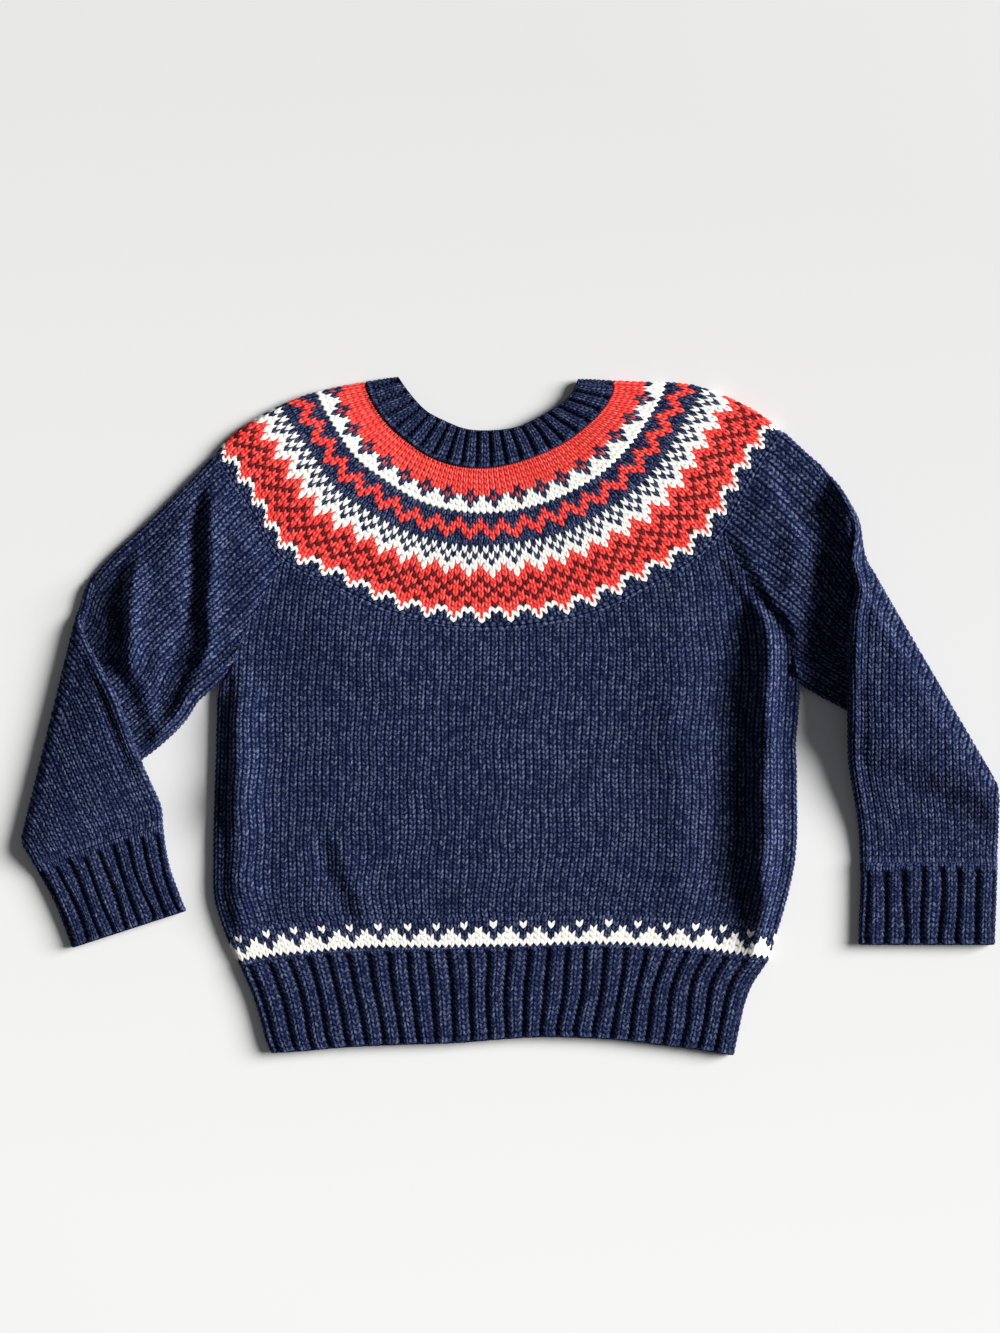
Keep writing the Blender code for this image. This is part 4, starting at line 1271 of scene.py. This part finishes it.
def new_material(name):
    """A material, its node tree, its shader and the place on the object as a vector."""
    material = bpy.data.materials.new(name)
    material.use_nodes = True
    tree = material.node_tree
    place = add_node(tree, "ShaderNodeTexCoord", {}).outputs["Object"]
    return material, tree, tree.nodes["Principled BSDF"], place


def wool(name, dark, middle, bright, painted_groove_shade):
    """Heathered yarn: its colour wanders along the fibres, from stitch to stitch and broadly.

    It also has painted shade: where the depth attribute is high, it is mixed towards its painted
    groove shade colour.
    """
    material, tree, shader, place = new_material(name)
    # The depth attribute holds painted shade values, and tone is the stitches' own random tone.
    tone, depth = [
        add_node(tree, "ShaderNodeAttribute", {}, attribute_name=label).outputs["Fac"]
        for label in ("tone", "depth")
    ]
    mixed = FIBRE_START
    for value, share in (
        (add_noise(tree, place, *FIBRES), FIBRE_SHARE),
        (tone, TONE_SHARE),
        (add_noise(tree, place, *BROAD_CLOUDS), CLOUD_SHARE),
    ):
        inputs = {0: value, 1: share, 2: mixed}
        mixed = add_node(tree, "ShaderNodeMath", inputs, operation="MULTIPLY_ADD").outputs[0]
    yarn = add_ramp(tree, mixed, list(zip(YARN_STOPS, (dark, middle, bright))))
    # Painted shade: the depth attribute mixes the yarn towards its dark groove colour.
    least, most = SHADE_DEPTHS
    shade = add_node(
        tree, "ShaderNodeMapRange", {"Value": depth, "From Min": least, "From Max": most}
    )
    inputs = {"Factor": shade.outputs["Result"], "A": yarn, "B": (*painted_groove_shade, 1)}
    shaded = add_node(tree, "ShaderNodeMix", inputs, data_type="RGBA", blend_type="MIX")
    tree.links.new(shaded.outputs["Result"], shader.inputs["Base Color"])
    inputs = {
        "Strength": FUZZ_STRENGTH, "Distance": FUZZ_HEIGHT,
        "Height": add_noise(tree, place, *FUZZ),
    }
    bump = add_node(tree, "ShaderNodeBump", inputs)
    tree.links.new(bump.outputs["Normal"], shader.inputs["Normal"])
    for name, value in WOOL.items():
        shader.inputs[name].default_value = value
    shader.inputs["Sheen Tint"].default_value = (*bright, 1)
    return material


# The floor is plain paper. Its colour has painted light: it is a little lighter at the picture's
# bottom left than at its top.
FLOOR_REACH = 30.0
FLOOR_DROP = 0.0003
FLOOR_PAINTED_LIGHT_STOPS = ((0.0, (0.69, 0.69, 0.69)), (1.0, (0.58, 0.58, 0.58)))
FLOOR_TOWARDS = (0.4, 1.0, 0.0)
FLOOR_SPREAD = 0.4
FLOOR_ROUGHNESS = 0.8


def add_floor():
    material, tree, shader, place = new_material("floor_paper")
    towards = add_node(
        tree, "ShaderNodeVectorMath", {0: place, 1: FLOOR_TOWARDS}, operation="DOT_PRODUCT"
    )
    inputs = {
        "Value": towards.outputs["Value"], "From Min": -FLOOR_SPREAD, "From Max": FLOOR_SPREAD,
    }
    up = add_node(tree, "ShaderNodeMapRange", inputs)
    tree.links.new(add_ramp(tree, up.outputs["Result"], FLOOR_PAINTED_LIGHT_STOPS), shader.inputs["Base Color"])
    shader.inputs["Roughness"].default_value = FLOOR_ROUGHNESS
    mesh = bpy.data.meshes.new("floor")
    square = ((-1, -1), (1, -1), (1, 1), (-1, 1))
    corners = [(x * FLOOR_REACH, y * FLOOR_REACH, 0) for x, y in square]
    mesh.from_pydata(corners, [], [(0, 1, 2, 3)])
    mesh.materials.append(material)
    floor = bpy.data.objects.new("floor", mesh)
    floor.location.z = -FLOOR_DROP
    bpy.context.scene.collection.objects.link(floor)


# The key light is a wide low one, far off to the right and a little towards the neck.
KEY_DISTANCE = 24.0
KEY_HEIGHT_ANGLE = math.radians(30)
KEY_SIDE_ANGLE = math.radians(14)
KEY_SIZE = 14.0
KEY_POWER = 15250.0
KEY_COLOUR = (1.0, 0.995, 0.985)
SKY_COLOUR = (0.96, 0.98, 1.0)
SKY_STRENGTH = 0.13


def add_key_light():
    """A round lamp that faces the origin."""
    light = bpy.data.lights.new("key", "AREA")
    light.shape = "DISK"
    light.size = KEY_SIZE
    light.energy = KEY_POWER
    light.color = KEY_COLOUR
    lamp = bpy.data.objects.new("key", light)
    over_floor = KEY_DISTANCE * math.cos(KEY_HEIGHT_ANGLE)
    lamp.location = (
        over_floor * math.cos(KEY_SIDE_ANGLE),
        over_floor * math.sin(KEY_SIDE_ANGLE),
        KEY_DISTANCE * math.sin(KEY_HEIGHT_ANGLE),
    )
    lamp.rotation_euler = (math.pi / 2 - KEY_HEIGHT_ANGLE, 0.0, KEY_SIDE_ANGLE + math.pi / 2)
    lamp.visible_camera = False
    bpy.context.scene.collection.objects.link(lamp)


def add_studio():
    scene = bpy.context.scene
    world = bpy.data.worlds.new("studio")
    world.use_nodes = True
    background = world.node_tree.nodes["Background"]
    background.inputs["Color"].default_value = (*SKY_COLOUR, 1)
    background.inputs["Strength"].default_value = SKY_STRENGTH
    scene.world = world
    scene.view_settings.view_transform = "Standard"


# The view: straight above, over this middle of the picture, with this height of table in it.
VIEW_MIDDLE = (-5.98, 29.6)
VIEW_HEIGHT = 800.0
CAMERA_HEIGHT = 2.4
SENSOR = 36.0


def add_camera():
    data = bpy.data.cameras.new("camera")
    data.sensor_width = SENSOR
    data.lens = SENSOR * CAMERA_HEIGHT / (VIEW_HEIGHT * MM)
    camera = bpy.data.objects.new("camera", data)
    camera.location = (VIEW_MIDDLE[0] * MM, VIEW_MIDDLE[1] * MM, CAMERA_HEIGHT)
    bpy.context.scene.collection.objects.link(camera)
    bpy.context.scene.camera = camera


def main():
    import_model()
    materials = [wool(name, *colours) for name, colours in YARNS.items()]
    for node, piece in add_pieces(materials).items():
        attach(piece, "root")
        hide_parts(node)
    add_floor()
    add_studio()
    add_key_light()
    add_camera()


main()
